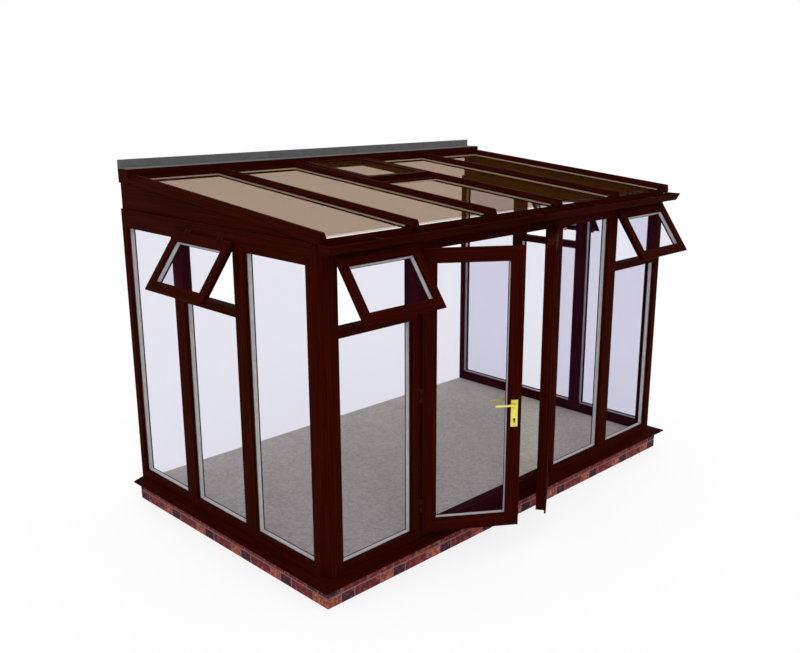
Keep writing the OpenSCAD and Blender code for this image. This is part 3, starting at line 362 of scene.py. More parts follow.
@dataclass(frozen=True)
class FiredBrick:
    """Multi-coloured clay brick, one tone to a brick, with burnt patches and a sanded face."""

    name: str = "fired_brick"
    orange: Colour = linear(188, 102, 78)
    red: Colour = linear(138, 58, 60)
    purple: Colour = linear(82, 42, 56)
    pale: Colour = linear(206, 140, 124)

    def material(self) -> Material:
        """Builds the brick face.

        Returns:
            The brick material.
        """
        tree = ShaderTree(self.name)
        where = tree.place()
        patches = tree.noise(where, scale=34.0, detail=5.0, rough=0.65)
        sand = tree.noise(where, scale=420.0, detail=2.0)
        tone = tree.add("ShaderNodeAttribute", attribute_name=BRICK_TONE_ATTRIBUTE).outputs["Fac"]
        body = tree.ramp(tone, [(0.0, self.orange), (0.3, self.orange), (0.42, self.red),
                                (0.58, self.red), (0.7, self.purple), (1.0, self.purple)])
        dark = tree.ramp(patches, [(0.40, WHITE), (0.54, (0.26, 0.18, 0.26))])
        colour = tree.blend(0.85, body, dark, "MULTIPLY")
        bloom = tree.ramp(patches, [(0.28, WHITE), (0.4, BLACK)])
        pale = tree.ramp(sand, [(0.0, self.pale), (1.0, self.pale)])
        colour = tree.blend(tree.spread(bloom, low=0.0, high=0.35), colour, pale)
        relief = tree.blend(0.35, tree.ramp(patches, [(0.2, BLACK), (0.8, WHITE)]),
                            tree.ramp(sand, [(0.3, BLACK), (0.7, WHITE)]))
        normal = tree.bump(relief, depth=1.2 * MILLIMETRE, strength=0.8)
        return tree.principled(colour, tree.spread(sand, low=0.95, high=0.75), normal, specular=0.2)


@dataclass(frozen=True)
class RoughCast:
    """A cast or trowelled surface: mortar, concrete or the floor covering."""

    name: str
    low: Colour
    high: Colour
    grain: float
    relief: float
    rough: float = 0.9
    polish: float = 0.15
    patch_size: float = 9.0

    def material(self) -> Material:
        """Builds the surface.

        Returns:
            The cast material.
        """
        tree = ShaderTree(self.name)
        where = tree.place()
        fine = tree.noise(where, scale=self.grain, detail=3.0, rough=0.7)
        broad = tree.noise(where, scale=self.grain / self.patch_size, detail=2.0)
        colour = tree.ramp(fine, [(0.34, self.low), (0.64, self.high)])
        shade = tree.ramp(broad, [(0.3, (0.90, 0.90, 0.90)), (0.7, WHITE)])
        colour = tree.blend(0.8, colour, shade, "MULTIPLY")
        normal = tree.bump(fine, depth=self.relief, strength=0.5)
        rough = tree.spread(broad, self.rough, self.rough - self.polish)
        return tree.principled(colour, rough, normal, specular=0.15)


@dataclass(frozen=True)
class Metal:
    """A metal with fine rub marks and smudges."""

    name: str
    low: Colour
    high: Colour
    rough_low: float
    rough_high: float
    metallic: float = 0.0
    mark_scale: Stretch = (60.0, 60.0, 900.0)
    specular: float = 0.5

    def material(self) -> Material:
        """Builds the metal.

        Returns:
            The metal material.
        """
        tree = ShaderTree(self.name)
        marks = tree.noise(tree.place(self.mark_scale), scale=1.0, detail=3.0)
        smudges = tree.noise(tree.place(), scale=18.0, detail=3.0)
        colour = tree.ramp(smudges, [(0.35, self.low), (0.65, self.high)])
        normal = tree.bump(marks, depth=0.05 * MILLIMETRE, strength=0.25)
        rough = tree.spread(smudges, self.rough_low, self.rough_high)
        return tree.principled(colour, rough, normal, specular=self.specular, metallic=self.metallic)


@dataclass(frozen=True)
class SoftPlastic:
    """Rubber, plastic strip or painted sheet, with faint scuffs."""

    name: str
    low: Colour
    high: Colour
    rough: float
    specular: float
    wear: float = 0.12

    def material(self) -> Material:
        """Builds the plastic.

        Returns:
            The plastic material.
        """
        tree = ShaderTree(self.name)
        where = tree.place()
        scuffs = tree.noise(where, scale=35.0, detail=4.0)
        colour = tree.ramp(scuffs, [(0.35, self.low), (0.65, self.high)])
        normal = tree.bump(tree.noise(where, scale=600.0, detail=2.0), depth=0.06 * MILLIMETRE, strength=0.3)
        return tree.principled(colour, tree.spread(scuffs, self.rough, self.rough + self.wear), normal,
                               specular=self.specular)


@dataclass(frozen=True)
class PaneGlass:
    """Thin glass: a tinted clear film with a little haze, a faint reflection and a trace of dust."""

    name: str
    film: Colour
    body: Colour = WHITE
    haze: float = 0.0
    reflection: float = 0.0015
    dust: float = 0.002
    gloss: float = 0.08

    def material(self) -> Material:
        """Builds the glass.

        Returns:
            The glass material.
        """
        tree = ShaderTree(self.name)
        body = (*self.body, 1.0)
        clear = tree.add("ShaderNodeBsdfTransparent", {"Color": (*self.film, 1.0)})
        cloud = tree.add("ShaderNodeBsdfDiffuse", {"Color": body})
        tinted = tree.mixed(self.haze, clear.outputs["BSDF"], cloud.outputs["BSDF"])
        shine = tree.add("ShaderNodeBsdfAnisotropic", {"Color": body, "Roughness": self.gloss})
        dust = tree.noise(tree.place(), scale=9.0, detail=4.0)
        share = tree.spread(dust, self.reflection, self.reflection + self.dust)
        surface = tree.mixed(share, tinted, shine.outputs["BSDF"])
        tree.join(surface, tree.output.inputs["Surface"])
        return tree.material


class Finishes:
    """Every material of the building, made once."""

    def __init__(self) -> None:
        """Builds the materials."""
        self.foil = WoodgrainFoil().material()
        self.brick = FiredBrick().material()
        self.mortar = RoughCast("mortar", linear(98, 70, 66), linear(150, 118, 108),
                                grain=260.0, relief=0.8 * MILLIMETRE).material()
        self.concrete = RoughCast("concrete", linear(140, 134, 126), linear(172, 166, 158),
                                  grain=90.0, relief=0.6 * MILLIMETRE).material()
        self.floor = RoughCast("speckled_floor", linear(178, 173, 164), linear(206, 202, 191),
                               grain=40.0, relief=0.3 * MILLIMETRE, rough=0.8).material()
        self.brass = Metal("polished_brass", linear(206, 192, 70), linear(232, 220, 98),
                           rough_low=0.4, rough_high=0.28, metallic=0.25).material()
        self.steel = Metal("zinc_plated_steel", linear(150, 150, 148), linear(186, 186, 182),
                           rough_low=0.45, rough_high=0.3, metallic=0.9).material()
        self.lead = Metal("weathered_lead", linear(90, 90, 90), linear(98, 98, 98), rough_low=0.8,
                          rough_high=0.65, mark_scale=(200.0, 12.0, 12.0), specular=0.1).material()
        self.dark_metal = Metal("dark_painted_metal", linear(42, 11, 5), linear(56, 18, 9),
                                rough_low=0.5, rough_high=0.38, specular=0.05).material()
        self.spacer = Metal("mill_finish_spacer", linear(192, 189, 184), linear(206, 203, 198),
                            rough_low=0.7, rough_high=0.6, specular=0.1).material()
        # Paler copy of the spacer finish for the roof spacers: painted light, standing in for light they lack
        # in shade under the bronze sheet.
        self.roof_spacer = Metal("roof_spacer_painted_light", linear(242, 238, 230), linear(252, 249, 243),
                                 rough_low=0.7, rough_high=0.6, specular=0.1).material()
        self.seal = SoftPlastic("grey_seal", linear(70, 66, 66), linear(88, 84, 84),
                                rough=0.7, specular=0.05).material()
        self.rubber = SoftPlastic("black_gasket", linear(8, 6, 6), linear(20, 16, 15),
                                  rough=0.7, specular=0.1).material()
        self.clear = PaneGlass("clear_pane", film=(0.941, 0.941, 0.963), body=(0.5, 0.1, 0.55),
                               haze=0.0011).material()
        self.plain = PaneGlass("clear_closure", film=(0.985, 0.985, 0.985), reflection=0.01).material()
        self.bronze = PaneGlass("bronze_pane", film=(0.770, 0.722, 0.678), body=(1.0, 0.40, 0.08),
                                haze=0.0112).material()


def islands(mesh: bmesh.types.BMesh) -> list[Faces]:
    """Splits a mesh into its connected solids.

    Args:
        mesh: The mesh to split.

    Returns:
        The faces of each solid.
    """
    seen: set[bmesh.types.BMFace] = set()
    groups: list[Faces] = []
    for start in mesh.faces:
        if start in seen:
            continue
        group, queue = [], [start]
        seen.add(start)
        while queue:
            face = queue.pop()
            group.append(face)
            for edge in face.edges:
                for other in edge.link_faces:
                    if other not in seen:
                        seen.add(other)
                        queue.append(other)
        groups.append(group)
    return groups


def corners_of(group: Faces) -> list[Vector]:
    """Lists the corner points of the faces of a solid, shared ones more than once."""
    return [vertex.co for face in group for vertex in face.verts]


def span(corners: list[Vector]) -> tuple[Vector, Vector]:
    """Finds the lowest and the highest corner of the box round some points.

    Args:
        corners: The points.

    Returns:
        The lowest and the highest corner.
    """
    lowest = Vector([min(corner[axis] for corner in corners) for axis in range(3)])
    highest = Vector([max(corner[axis] for corner in corners) for axis in range(3)])
    return lowest, highest


def merged_copy(node: str) -> bmesh.types.BMesh:
    """Copies a CAD node with its doubles merged and its flat faces joined.

    Args:
        node: Name of the node.

    Returns:
        The merged copy.
    """
    copy = bmesh.new()
    copy.from_mesh(frame["nodes"][node].data)
    bmesh.ops.remove_doubles(copy, verts=copy.verts, dist=MERGE_DISTANCE)
    bmesh.ops.dissolve_limit(copy, angle_limit=FLAT_ANGLE, verts=copy.verts, edges=copy.edges)
    return copy


def new_object(name: str, data: bpy.types.ID) -> Object:
    """Links a new object with that mesh, lamp or camera.

    Args:
        name: Name of the object and its data.
        data: The mesh, lamp or camera.

    Returns:
        The object.
    """
    data.name = name
    made = bpy.data.objects.new(name, data)
    bpy.context.scene.collection.objects.link(made)
    return made


@dataclass
class Joinery:
    """Foil-wrapped bars: copies of the CAD bars with eased edges and grain along each bar."""

    finishes: Finishes
    nodes: list[str]
    edge_radius: float = 1.1 * MILLIMETRE
    edge_steps: int = 2
    sharp_angle: float = math.radians(30)
    grain_step: float = 0.73
    radii_per_edge: int = 4

    def dress(self, node: str) -> Object:
        """Makes the dressed copy of one node.

        Args:
            node: Name of the CAD node.

        Returns:
            The dressed piece, riding on the node's body.
        """
        mesh = merged_copy(node)
        sharp = [edge for edge in mesh.edges
                 if len(edge.link_faces) == 2 and edge.calc_face_angle(0.0) > self.sharp_angle
                 and edge.calc_length() > self.radii_per_edge * self.edge_radius]
        bmesh.ops.bevel(mesh, geom=sharp, offset=self.edge_radius, segments=self.edge_steps,
                        affect="EDGES", clamp_overlap=True, profile=0.5)
        grain = mesh.verts.layers.float_vector.new(GRAIN_ATTRIBUTE)
        for number, group in enumerate(islands(mesh)):
            self._lay_grain(group, grain, number)
        for face in mesh.faces:
            face.smooth = False
        data = bpy.data.meshes.new(node)
        mesh.to_mesh(data)
        mesh.free()
        data.materials.append(self.finishes.foil)
        piece = new_object(f"{node}_foil", data)
        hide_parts(node)
        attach(piece, frame["nodes"][node]["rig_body"])
        return piece

    def _lay_grain(self, group: Faces, layer: bmesh.types.BMLayerItem, number: int) -> None:
        """Writes the grain coordinates of one bar, along its longest edge.

        Args:
            group: Faces of the bar.
            layer: Layer that takes the coordinates.
            number: Number of the bar, which shifts its grain.
        """
        edges = {edge for face in group for edge in face.edges}
        longest = max(edges, key=lambda edge: edge.calc_length())
        along = (longest.verts[1].co - longest.verts[0].co).normalized()
        broad = max(group, key=lambda face: face.calc_area()).normal
        across = (broad - along * broad.dot(along)).normalized()
        third = along.cross(across)
        shift = number * self.grain_step
        for vertex in {vertex for face in group for vertex in face.verts}:
            place = vertex.co
            vertex[layer] = Vector((place.dot(along) + shift, place.dot(third) + shift,
                                    place.dot(across) - shift))

    def build(self) -> list[Object]:
        """Dresses every foil node.

        Returns:
            The dressed pieces.
        """
        return [self.dress(node) for node in self.nodes]


@dataclass
class Glazing:
    """CAD nodes that hold solids of two finishes, each split into two pieces."""

    finishes: Finishes
    sashes: list[str]
    gaskets: str = "glazing_gaskets"
    spacers: str = "spacer_bars"
    sheet_corners: int = 8
    wall_top: float = 2.34

    def _part(self, node: str, name: str, test: Callable[[set[bmesh.types.BMVert]], bool], wanted: bool,
              material: Material, slot: str) -> Object:
        """Makes a piece of the solids of one node for which a test says what is wanted.

        Args:
            node: Name of the CAD node.
            name: Name of the piece.
            test: Test on the corners of a solid.
            wanted: Answer of the test for the solids of this piece.
            material: Finish of the piece.
            slot: Material slot of the record; not used.

        Returns:
            The piece, riding on the node's body.
        """
        mesh = merged_copy(node)
        for group in islands(mesh):
            corners = {vertex for face in group for vertex in face.verts}
            if test(corners) != wanted:
                bmesh.ops.delete(mesh, geom=list(corners), context="VERTS")
        data = bpy.data.meshes.new(name)
        mesh.to_mesh(data)
        mesh.free()
        data.materials.append(material)
        piece = new_object(name, data)
        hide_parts(node)
        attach(piece, frame["nodes"][node]["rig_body"])
        return piece

    def _is_sheet(self, corners: set[bmesh.types.BMVert]) -> bool:
        """Tells a sheet of glass from a spacer by the count of its corners."""
        return len(corners) <= self.sheet_corners

    def _in_wall(self, corners: set[bmesh.types.BMVert]) -> bool:
        """Tells a solid of a wall pane from one of the roof by its height."""
        return max(vertex.co.z for vertex in corners) < self.wall_top

    def build(self) -> list[Object]:
        """Makes the sheets and spacers of the sashes, and the seals and spacers of the walls and the roof.

        Returns:
            The new pieces.
        """
        finishes, rows = self.finishes, []
        for node in self.sashes:
            rows.append((node, f"{node}_sheets", self._is_sheet, True, finishes.clear, "glass"))
            rows.append((node, f"{node}_spacer", self._is_sheet, False, finishes.spacer, "spacer"))
        rows += [(self.gaskets, "wall_seals", self._in_wall, True, finishes.seal, "gasket"),
                 (self.gaskets, "roof_gaskets", self._in_wall, False, finishes.rubber, "gasket"),
                 (self.spacers, "wall_spacers", self._in_wall, True, finishes.spacer, "spacer"),
                 # The roof spacers take the paler copy of the spacer finish: painted light.
                 (self.spacers, "roof_spacers", self._in_wall, False, finishes.roof_spacer, "spacer")]
        return [self._part(*row) for row in rows]


class GeometryTree(NodeTree):
    """A geometry node tree with short calls for its nodes and inputs."""

    def __init__(self, name: str) -> None:
        """Starts a tree with a geometry input and output.

        Args:
            name: Name of the tree.
        """
        self.tree = bpy.data.node_groups.new(name, "GeometryNodeTree")
        super().__init__(self.tree)
        for way in ("INPUT", "OUTPUT"):
            self.tree.interface.new_socket("Geometry", in_out=way, socket_type="NodeSocketGeometry")
        self.source = self.add("NodeGroupInput")
        self.result = self.add("NodeGroupOutput")
        self.values: dict[str, object] = {}

    def input(self, name: str, value: object, kind: str = "NodeSocketFloat") -> Socket:
        """Adds a named input.

        Args:
            name: Name of the input.
            value: Value that the modifier gets.
            kind: Blender's socket type.

        Returns:
            The socket inside the tree.
        """
        item = self.tree.interface.new_socket(name, in_out="INPUT", socket_type=kind)
        self.values[item.identifier] = value
        return self.source.outputs[name]

    def vector(self, operation: str, *sources: Socket | Colour | float) -> Socket:
        """Adds vector arithmetic.

        Args:
            operation: Name of the operation.
            sources: Sockets or plain values, in order.

        Returns:
            The socket of the result.
        """
        node = self.add("ShaderNodeVectorMath", dict(enumerate(sources)), operation=operation)
        return node.outputs["Vector"]

    def scaled(self, source: Socket, by: Socket | float) -> Socket:
        """Scales a vector by a number.

        Args:
            source: Socket of the vector.
            by: Socket or value of the factor.

        Returns:
            The socket of the scaled vector.
        """
        node = self.add("ShaderNodeVectorMath", {0: source, "Scale": by}, operation="SCALE")
        return node.outputs["Vector"]

    def number(self, operation: str, *sources: Socket | float) -> Socket:
        """Adds arithmetic on numbers.

        Args:
            operation: Name of the operation.
            sources: Sockets or plain values, in order.

        Returns:
            The socket of the result.
        """
        node = self.add("ShaderNodeMath", dict(enumerate(sources)), operation=operation)
        return node.outputs["Value"]

    def named(self, name: str) -> Socket:
        """Reads a named vector attribute.

        Args:
            name: Name of the attribute.

        Returns:
            The socket of the attribute.
        """
        node = self.add("GeometryNodeInputNamedAttribute", {"Name": name}, data_type="FLOAT_VECTOR")
        return next(s for s in node.outputs if s.enabled and s.name == "Attribute")

    def store(self, geometry: Socket, name: str, value: Socket) -> Socket:
        """Stores a vector on the points of a geometry.

        Args:
            geometry: Socket of the geometry.
            name: Name of the attribute.
            value: Socket of the vector.

        Returns:
            The socket of the geometry with the attribute.
        """
        node = self.add("GeometryNodeStoreNamedAttribute", {"Name": name, "Geometry": geometry},
                        data_type="FLOAT_VECTOR", domain="POINT")
        self.join(value, next(s for s in node.inputs if s.enabled and s.name == "Value"))
        return node.outputs["Geometry"]

    def triple(self, *parts: Socket | float) -> Socket:
        """Joins three numbers into a vector.

        Args:
            parts: Sockets or plain values of the X, Y and Z parts.

        Returns:
            The socket of the vector.
        """
        return self.add("ShaderNodeCombineXYZ", dict(zip("XYZ", parts))).outputs["Vector"]

    def finish(self, geometry: Socket, material: Socket) -> None:
        """Ends the tree in Realize Instances and Set Material.

        Args:
            geometry: Socket of the geometry to end with.
            material: Socket of the material.
        """
        realize = self.add("GeometryNodeRealizeInstances", {"Geometry": geometry})
        feeds = {"Geometry": realize.outputs["Geometry"], "Material": material}
        painted = self.add("GeometryNodeSetMaterial", feeds)
        self.join(painted.outputs["Geometry"], self.result.inputs["Geometry"])

    def bake(self, host: Object, name: str) -> Object:
        """Runs the tree on a host object and keeps the plain mesh.

        Args:
            host: Object whose points feed the tree; it is removed.
            name: Name of the finished piece.

        Returns:
            The finished piece.
        """
        modifier = host.modifiers.new(name, "NODES")
        modifier.node_group = self.tree
        for identifier, value in self.values.items():
            modifier[identifier] = value
        bpy.context.view_layer.update()
        evaluated = host.evaluated_get(bpy.context.evaluated_depsgraph_get())
        data = bpy.data.meshes.new_from_object(evaluated)
        host.modifiers.remove(modifier)
        bpy.data.objects.remove(host)
        return new_object(name, data)


@dataclass
class Brickwork:
    """The two courses of brick, made brick by brick from the solids of the CAD node."""

    finishes: Finishes
    corner_radius: float = 3.0 * MILLIMETRE
    wear: float = 1.4 * MILLIMETRE
    wear_scale: float = 38.0
    wear_detail: float = 3.0
    long_brick: float = 0.17
    lower_course_top: float = 0.07
    tone_spread: float = 0.03
    tone_step: float = 2.4
    rows: int = 4

    def _tone(self, low: Vector, high: Vector, turn: int) -> BrickTone:
        """Picks a brick's colour from its length, its course and its turn; the upper course's short bricks
        take purple as painted shade under the sill.

        Args:
            low: Lowest corner of the brick.
            high: Highest corner of the brick.
            turn: Count of the short bricks before it in its wall.

        Returns:
            The tone of the brick.
        """
        length = max(high.x - low.x, high.y - low.y)
        if length > self.long_brick:
            return BrickTone.RED
        # Painted shade: every short brick of the upper course is purple, for the sill's shadow on that
        # course.
        if low.z > self.lower_course_top:
            return BrickTone.PURPLE
        return BrickTone.ORANGE if turn % 2 == 0 else BrickTone.PURPLE

    def _wall(self, low: Vector, front: float) -> int:
        """Tells which wall a brick belongs to.

        Args:
            low: Lowest corner of the brick.
            front: Depth of the front face of the brickwork.

        Returns:
            0 for the front, 1 for the left side and 2 for the right side.
        """
        if low.y - front < self.corner_radius:
            return 0
        return 1 if low.x < 0 else 2

    def _points(self) -> Object:
        """Makes one point for each brick, with its size and its tone.

        Returns:
            An object with the points.
        """
        source = merged_copy("bricks")
        boxes = []
        for group in islands(source):
            boxes.append(span(corners_of(group)))
        source.free()
        front = min(low.y for low, _ in boxes)
        boxes.sort(key=lambda box: (round(box[0].z, 3), self._wall(box[0], front), round(box[0].y, 2),
                                    round(box[0].x, 3)))
        data = bpy.data.meshes.new("brick_centres")
        data.from_pydata([(low + high) / 2 for low, high in boxes], [], [])
        # The second attribute can move the first one, so both are fetched afterwards
        data.attributes.new(BRICK_SIZE_ATTRIBUTE, "FLOAT_VECTOR", "POINT")
        data.attributes.new(BRICK_TONE_ATTRIBUTE, "FLOAT", "POINT")
        sizes, tones = data.attributes[BRICK_SIZE_ATTRIBUTE], data.attributes[BRICK_TONE_ATTRIBUTE]
        turns = [0, 0, 0]
        for index, (low, high) in enumerate(boxes):
            wall = self._wall(low, front)
            tone = self._tone(low, high, turns[wall])
            turns[wall] += tone is not BrickTone.RED
            sizes.data[index].vector = high - low
            tones.data[index].value = tone.value + self.tone_spread * math.sin(index * self.tone_step)
        return new_object("brick_centres", data)

    def _tree(self) -> GeometryTree:
        """Builds the tree that turns each point into a worn brick.

        Returns:
            The tree.
        """
        tree = GeometryTree("worn_bricks")
        radius = tree.input("Corner radius", self.corner_radius)
        wear = tree.input("Wear", self.wear)
        scale = tree.input("Wear scale", self.wear_scale)
        material = tree.input("Brick", self.finishes.brick, "NodeSocketMaterial")
        rows = {f"Vertices {axis}": self.rows for axis in "XYZ"}
        cube = tree.add("GeometryNodeMeshCube", {"Size": (1.0, 1.0, 1.0), **rows})
        split = tree.add("GeometryNodeSubdivideMesh", {"Mesh": cube.outputs["Mesh"], "Level": 1})
        position = tree.add("GeometryNodeInputPosition").outputs["Position"]
        unit = tree.store(split.outputs["Mesh"], "unit", position)
        centred = tree.store(tree.source.outputs["Geometry"], "centre", position)
        spread = tree.add("GeometryNodeInstanceOnPoints", {"Points": centred, "Instance": unit})
        realize = tree.add("GeometryNodeRealizeInstances", {"Geometry": spread.outputs["Instances"]})
        # Each face keeps a strip of one corner radius along its edges, and the middle takes the rest
        share = 0.5 / (self.rows - 1)
        half = tree.scaled(tree.named(BRICK_SIZE_ATTRIBUTE), 0.5)
        edge = tree.triple(radius, radius, radius)
        inner = tree.vector("SUBTRACT", half, edge)
        local = tree.named("unit")
        size = tree.vector("ABSOLUTE", local)
        middle = tree.vector("MINIMUM", tree.scaled(size, 1 / share), (1.0, 1.0, 1.0))
        strip = tree.vector("MAXIMUM", tree.vector("SUBTRACT", size, (share, share, share)), (0.0, 0.0, 0.0))
        outer = tree.scaled(strip, 1 / (0.5 - share))
        reach = tree.vector("ADD", tree.vector("MULTIPLY", middle, inner),
                            tree.vector("MULTIPLY", outer, edge))
        sign = tree.vector("SIGN", local)
        core = tree.vector("MULTIPLY", tree.vector("MINIMUM", reach, inner), sign)
        out = tree.vector("SUBTRACT", tree.vector("MULTIPLY", reach, sign), core)
        outward = tree.vector("NORMALIZE", out)
        where = tree.vector("ADD", core, tree.named("centre"))
        feeds = {"Vector": where, "Scale": scale, "Detail": self.wear_detail}
        noise = tree.add("ShaderNodeTexNoise", feeds, noise_dimensions="3D")
        worn = tree.number("SUBTRACT", radius, tree.number("MULTIPLY", wear, noise.outputs["Fac"]))
        place = tree.vector("ADD", tree.vector("ADD", core, tree.scaled(outward, worn)), tree.named("centre"))
        feeds = {"Geometry": realize.outputs["Geometry"], "Position": place}
        move = tree.add("GeometryNodeSetPosition", feeds)
        tree.finish(move.outputs["Geometry"], material)
        return tree

    def build(self) -> list[Object]:
        """Makes the bricks.

        Returns:
            The new pieces.
        """
        bricks = self._tree().bake(self._points(), "worn_bricks")
        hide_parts("bricks")
        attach(bricks, ROOT_BODY)
        return [bricks]


@dataclass
class Screws:
    """Cross-head screws in the fixed hinge halves and the backplates."""

    finishes: Finishes
    head_radius: float = 3.2 * MILLIMETRE
    head_height: float = 1.0 * MILLIMETRE
    head_sides: int = 20
    top_share: float = 0.72
    recess_width: float = 0.9 * MILLIMETRE
    recess_share: float = 1.1
    margin: float = 7.0 * MILLIMETRE
    facing_share: float = 0.7
    wall_top: float = 2.4
    front_zone: float = -1.15

    def _tree(self, material: Material) -> GeometryTree:
        """Builds the tree that puts a screw head on each point, along its facing.

        Args:
            material: Metal of the screws.

        Returns:
            The tree.
        """
        tree = GeometryTree("screw_heads")
        radius = tree.input("Head radius", self.head_radius)
        height = tree.input("Head height", self.head_height)
        recess = tree.input("Recess width", self.recess_width)
        metal = tree.input("Metal", material, "NodeSocketMaterial")
        top = tree.number("MULTIPLY", radius, self.top_share)
        feeds = {"Vertices": self.head_sides, "Radius Top": top, "Radius Bottom": radius, "Depth": height}
        head = tree.add("GeometryNodeMeshCone", feeds)
        cross = tree.add("GeometryNodeJoinGeometry")
        length = tree.number("MULTIPLY", radius, self.recess_share)
        for width, depth in ((length, recess), (recess, length)):
            slot = tree.add("GeometryNodeMeshCube", {"Size": tree.triple(width, depth, height)})
            feeds = {"Geometry": slot.outputs["Mesh"], "Translation": tree.triple(0.0, 0.0, height)}
            lift = tree.add("GeometryNodeTransform", feeds)
            tree.join(lift.outputs["Geometry"], cross.inputs["Geometry"])
        feeds = {"Mesh 1": head.outputs["Mesh"], "Mesh 2": cross.outputs["Geometry"]}
        cut = tree.add("GeometryNodeMeshBoolean", feeds, operation="DIFFERENCE", solver="MANIFOLD")
        feeds = {"Vector": tree.named(FACING_ATTRIBUTE)}
        turn = tree.add("FunctionNodeAlignRotationToVector", feeds, axis="Z")
        feeds = {"Points": tree.source.outputs["Geometry"], "Instance": cut.outputs["Mesh"],
                 "Rotation": turn.outputs["Rotation"]}
        spread = tree.add("GeometryNodeInstanceOnPoints", feeds)
        tree.finish(spread.outputs["Instances"], metal)
        return tree

    def _outer_face(self, group: Faces, outward: Vector) -> Faces:
        """Finds the largest flat side of a plate that faces outwards.

        Args:
            group: Faces of the plate.
            outward: Rough outward direction.

        Returns:
            The faces of that side.
        """
        sides: dict[tuple[float, ...], Faces] = {}
        for face in group:
            if face.normal.dot(outward) > self.facing_share:
                offset = face.normal.dot(face.calc_center_median())
                key = (*(round(part, 2) for part in face.normal), round(offset, 4))
                sides.setdefault(key, []).append(face)
        return max(sides.values(), key=lambda faces: sum(face.calc_area() for face in faces), default=[])

    def _row(self, faces: Faces) -> list[tuple[Vector, Vector]]:
        """Sets two screws along the longer way of a plate, or one in the middle of a small plate.

        Args:
            faces: Faces of the plate's outer side.

        Returns:
            Place and direction of each screw.
        """
        normal = faces[0].normal.copy()
        flat = abs(normal.z) > self.facing_share
        upright = Vector((1.0, 0.0, 0.0)) if flat else Vector((0.0, 0.0, 1.0))
        across = normal.cross(upright).normalized()
        along = across.cross(normal)
        corners = corners_of(faces)
        ways = []
        for axis in (across, along):
            reach = [corner.dot(axis) for corner in corners]
            ways.append((max(reach) - min(reach), (max(reach) + min(reach)) / 2, axis))
        (_, low_middle, low_axis), (length, middle, axis) = sorted(ways, key=lambda way: way[0])
        centre = normal * normal.dot(corners[0]) + low_axis * low_middle + axis * middle
        if length < 2 * self.margin + 3 * self.head_radius:
            return [(centre, normal)]
        step = axis * (length / 2 - self.margin)
        return [(centre + step, normal), (centre - step, normal)]

    def _outward(self, node: str) -> Vector:
        """Finds the outward direction of a node in a leaf of the front, as it stands at rest.

        Args:
            node: Name of the CAD node.

        Returns:
            The outward direction of the front, turned with the leaf's joint.
        """
        body = frame["nodes"][node]["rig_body"]
        joint = next(joint for joint in frame["joints"] if joint["child"] == body)
        opened = math.radians(-joint["range_deg"][0])
        return Matrix.Rotation(opened, 3, Vector(joint["axis"])) @ Vector((0.0, -1.0, 0.0))

    def _wall_way(self, place: Vector) -> Vector:
        """Finds the outward direction of the wall or the roof at a place.

        Args:
            place: A place on the fixed part of the building.

        Returns:
            The outward direction there.
        """
        if place.z > self.wall_top:
            return Vector((0.0, 0.0, 1.0))
        if place.y < self.front_zone:
            return Vector((0.0, -1.0, 0.0))
        return Vector((math.copysign(1.0, place.x), 0.0, 0.0))

    def places(self, node: str) -> list[tuple[Vector, Vector]]:
        """Lists the screws of every plate in a CAD node, on both sides of a leaf where it has them.

        Args:
            node: Name of the CAD node.

        Returns:
            Place and direction of each screw.
        """
        mesh = merged_copy(node)
        found: list[tuple[Vector, Vector]] = []
        low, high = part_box(node)
        fixed = frame["nodes"][node]["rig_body"] == ROOT_BODY
        for group in islands(mesh):
            corners = corners_of(group)
            centre = sum(corners, Vector()) / len(corners)
            way = self._wall_way(centre) if fixed else self._outward(node)
            if not fixed and (centre - (low + high) / 2).dot(way) < 0:
                way.negate()
            faces = self._outer_face(group, way)
            if faces:
                found += self._row(faces)
        mesh.free()
        return found

    def drive(self, node: str, name: str, material: Material) -> Object:
        """Puts screws on the plates of one node.

        Args:
            node: Name of the CAD node.
            name: Name of the piece.
            material: Metal of the screws.

        Returns:
            The piece with all the screws, riding on the node's body.
        """
        places = self.places(node)
        data = bpy.data.meshes.new(name)
        data.from_pydata([place for place, _ in places], [], [])
        facing = data.attributes.new(FACING_ATTRIBUTE, "FLOAT_VECTOR", "POINT")
        for item, (_, direction) in zip(facing.data, places):
            item.vector = direction
        host = new_object(f"{name}_points", data)
        piece = self._tree(material).bake(host, name)
        body = frame["nodes"][node]["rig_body"]
        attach(piece, body)
        return piece

    def build(self) -> list[Object]:
        """Drives the screws of both backplates and of the fixed hinge halves.

        Returns:
            The new pieces.
        """
        return [self.drive("door_backplates", "backplate_screws", self.finishes.brass),
                self.drive("fixed_hinge_halves", "hinge_screws", self.finishes.dark_metal)]


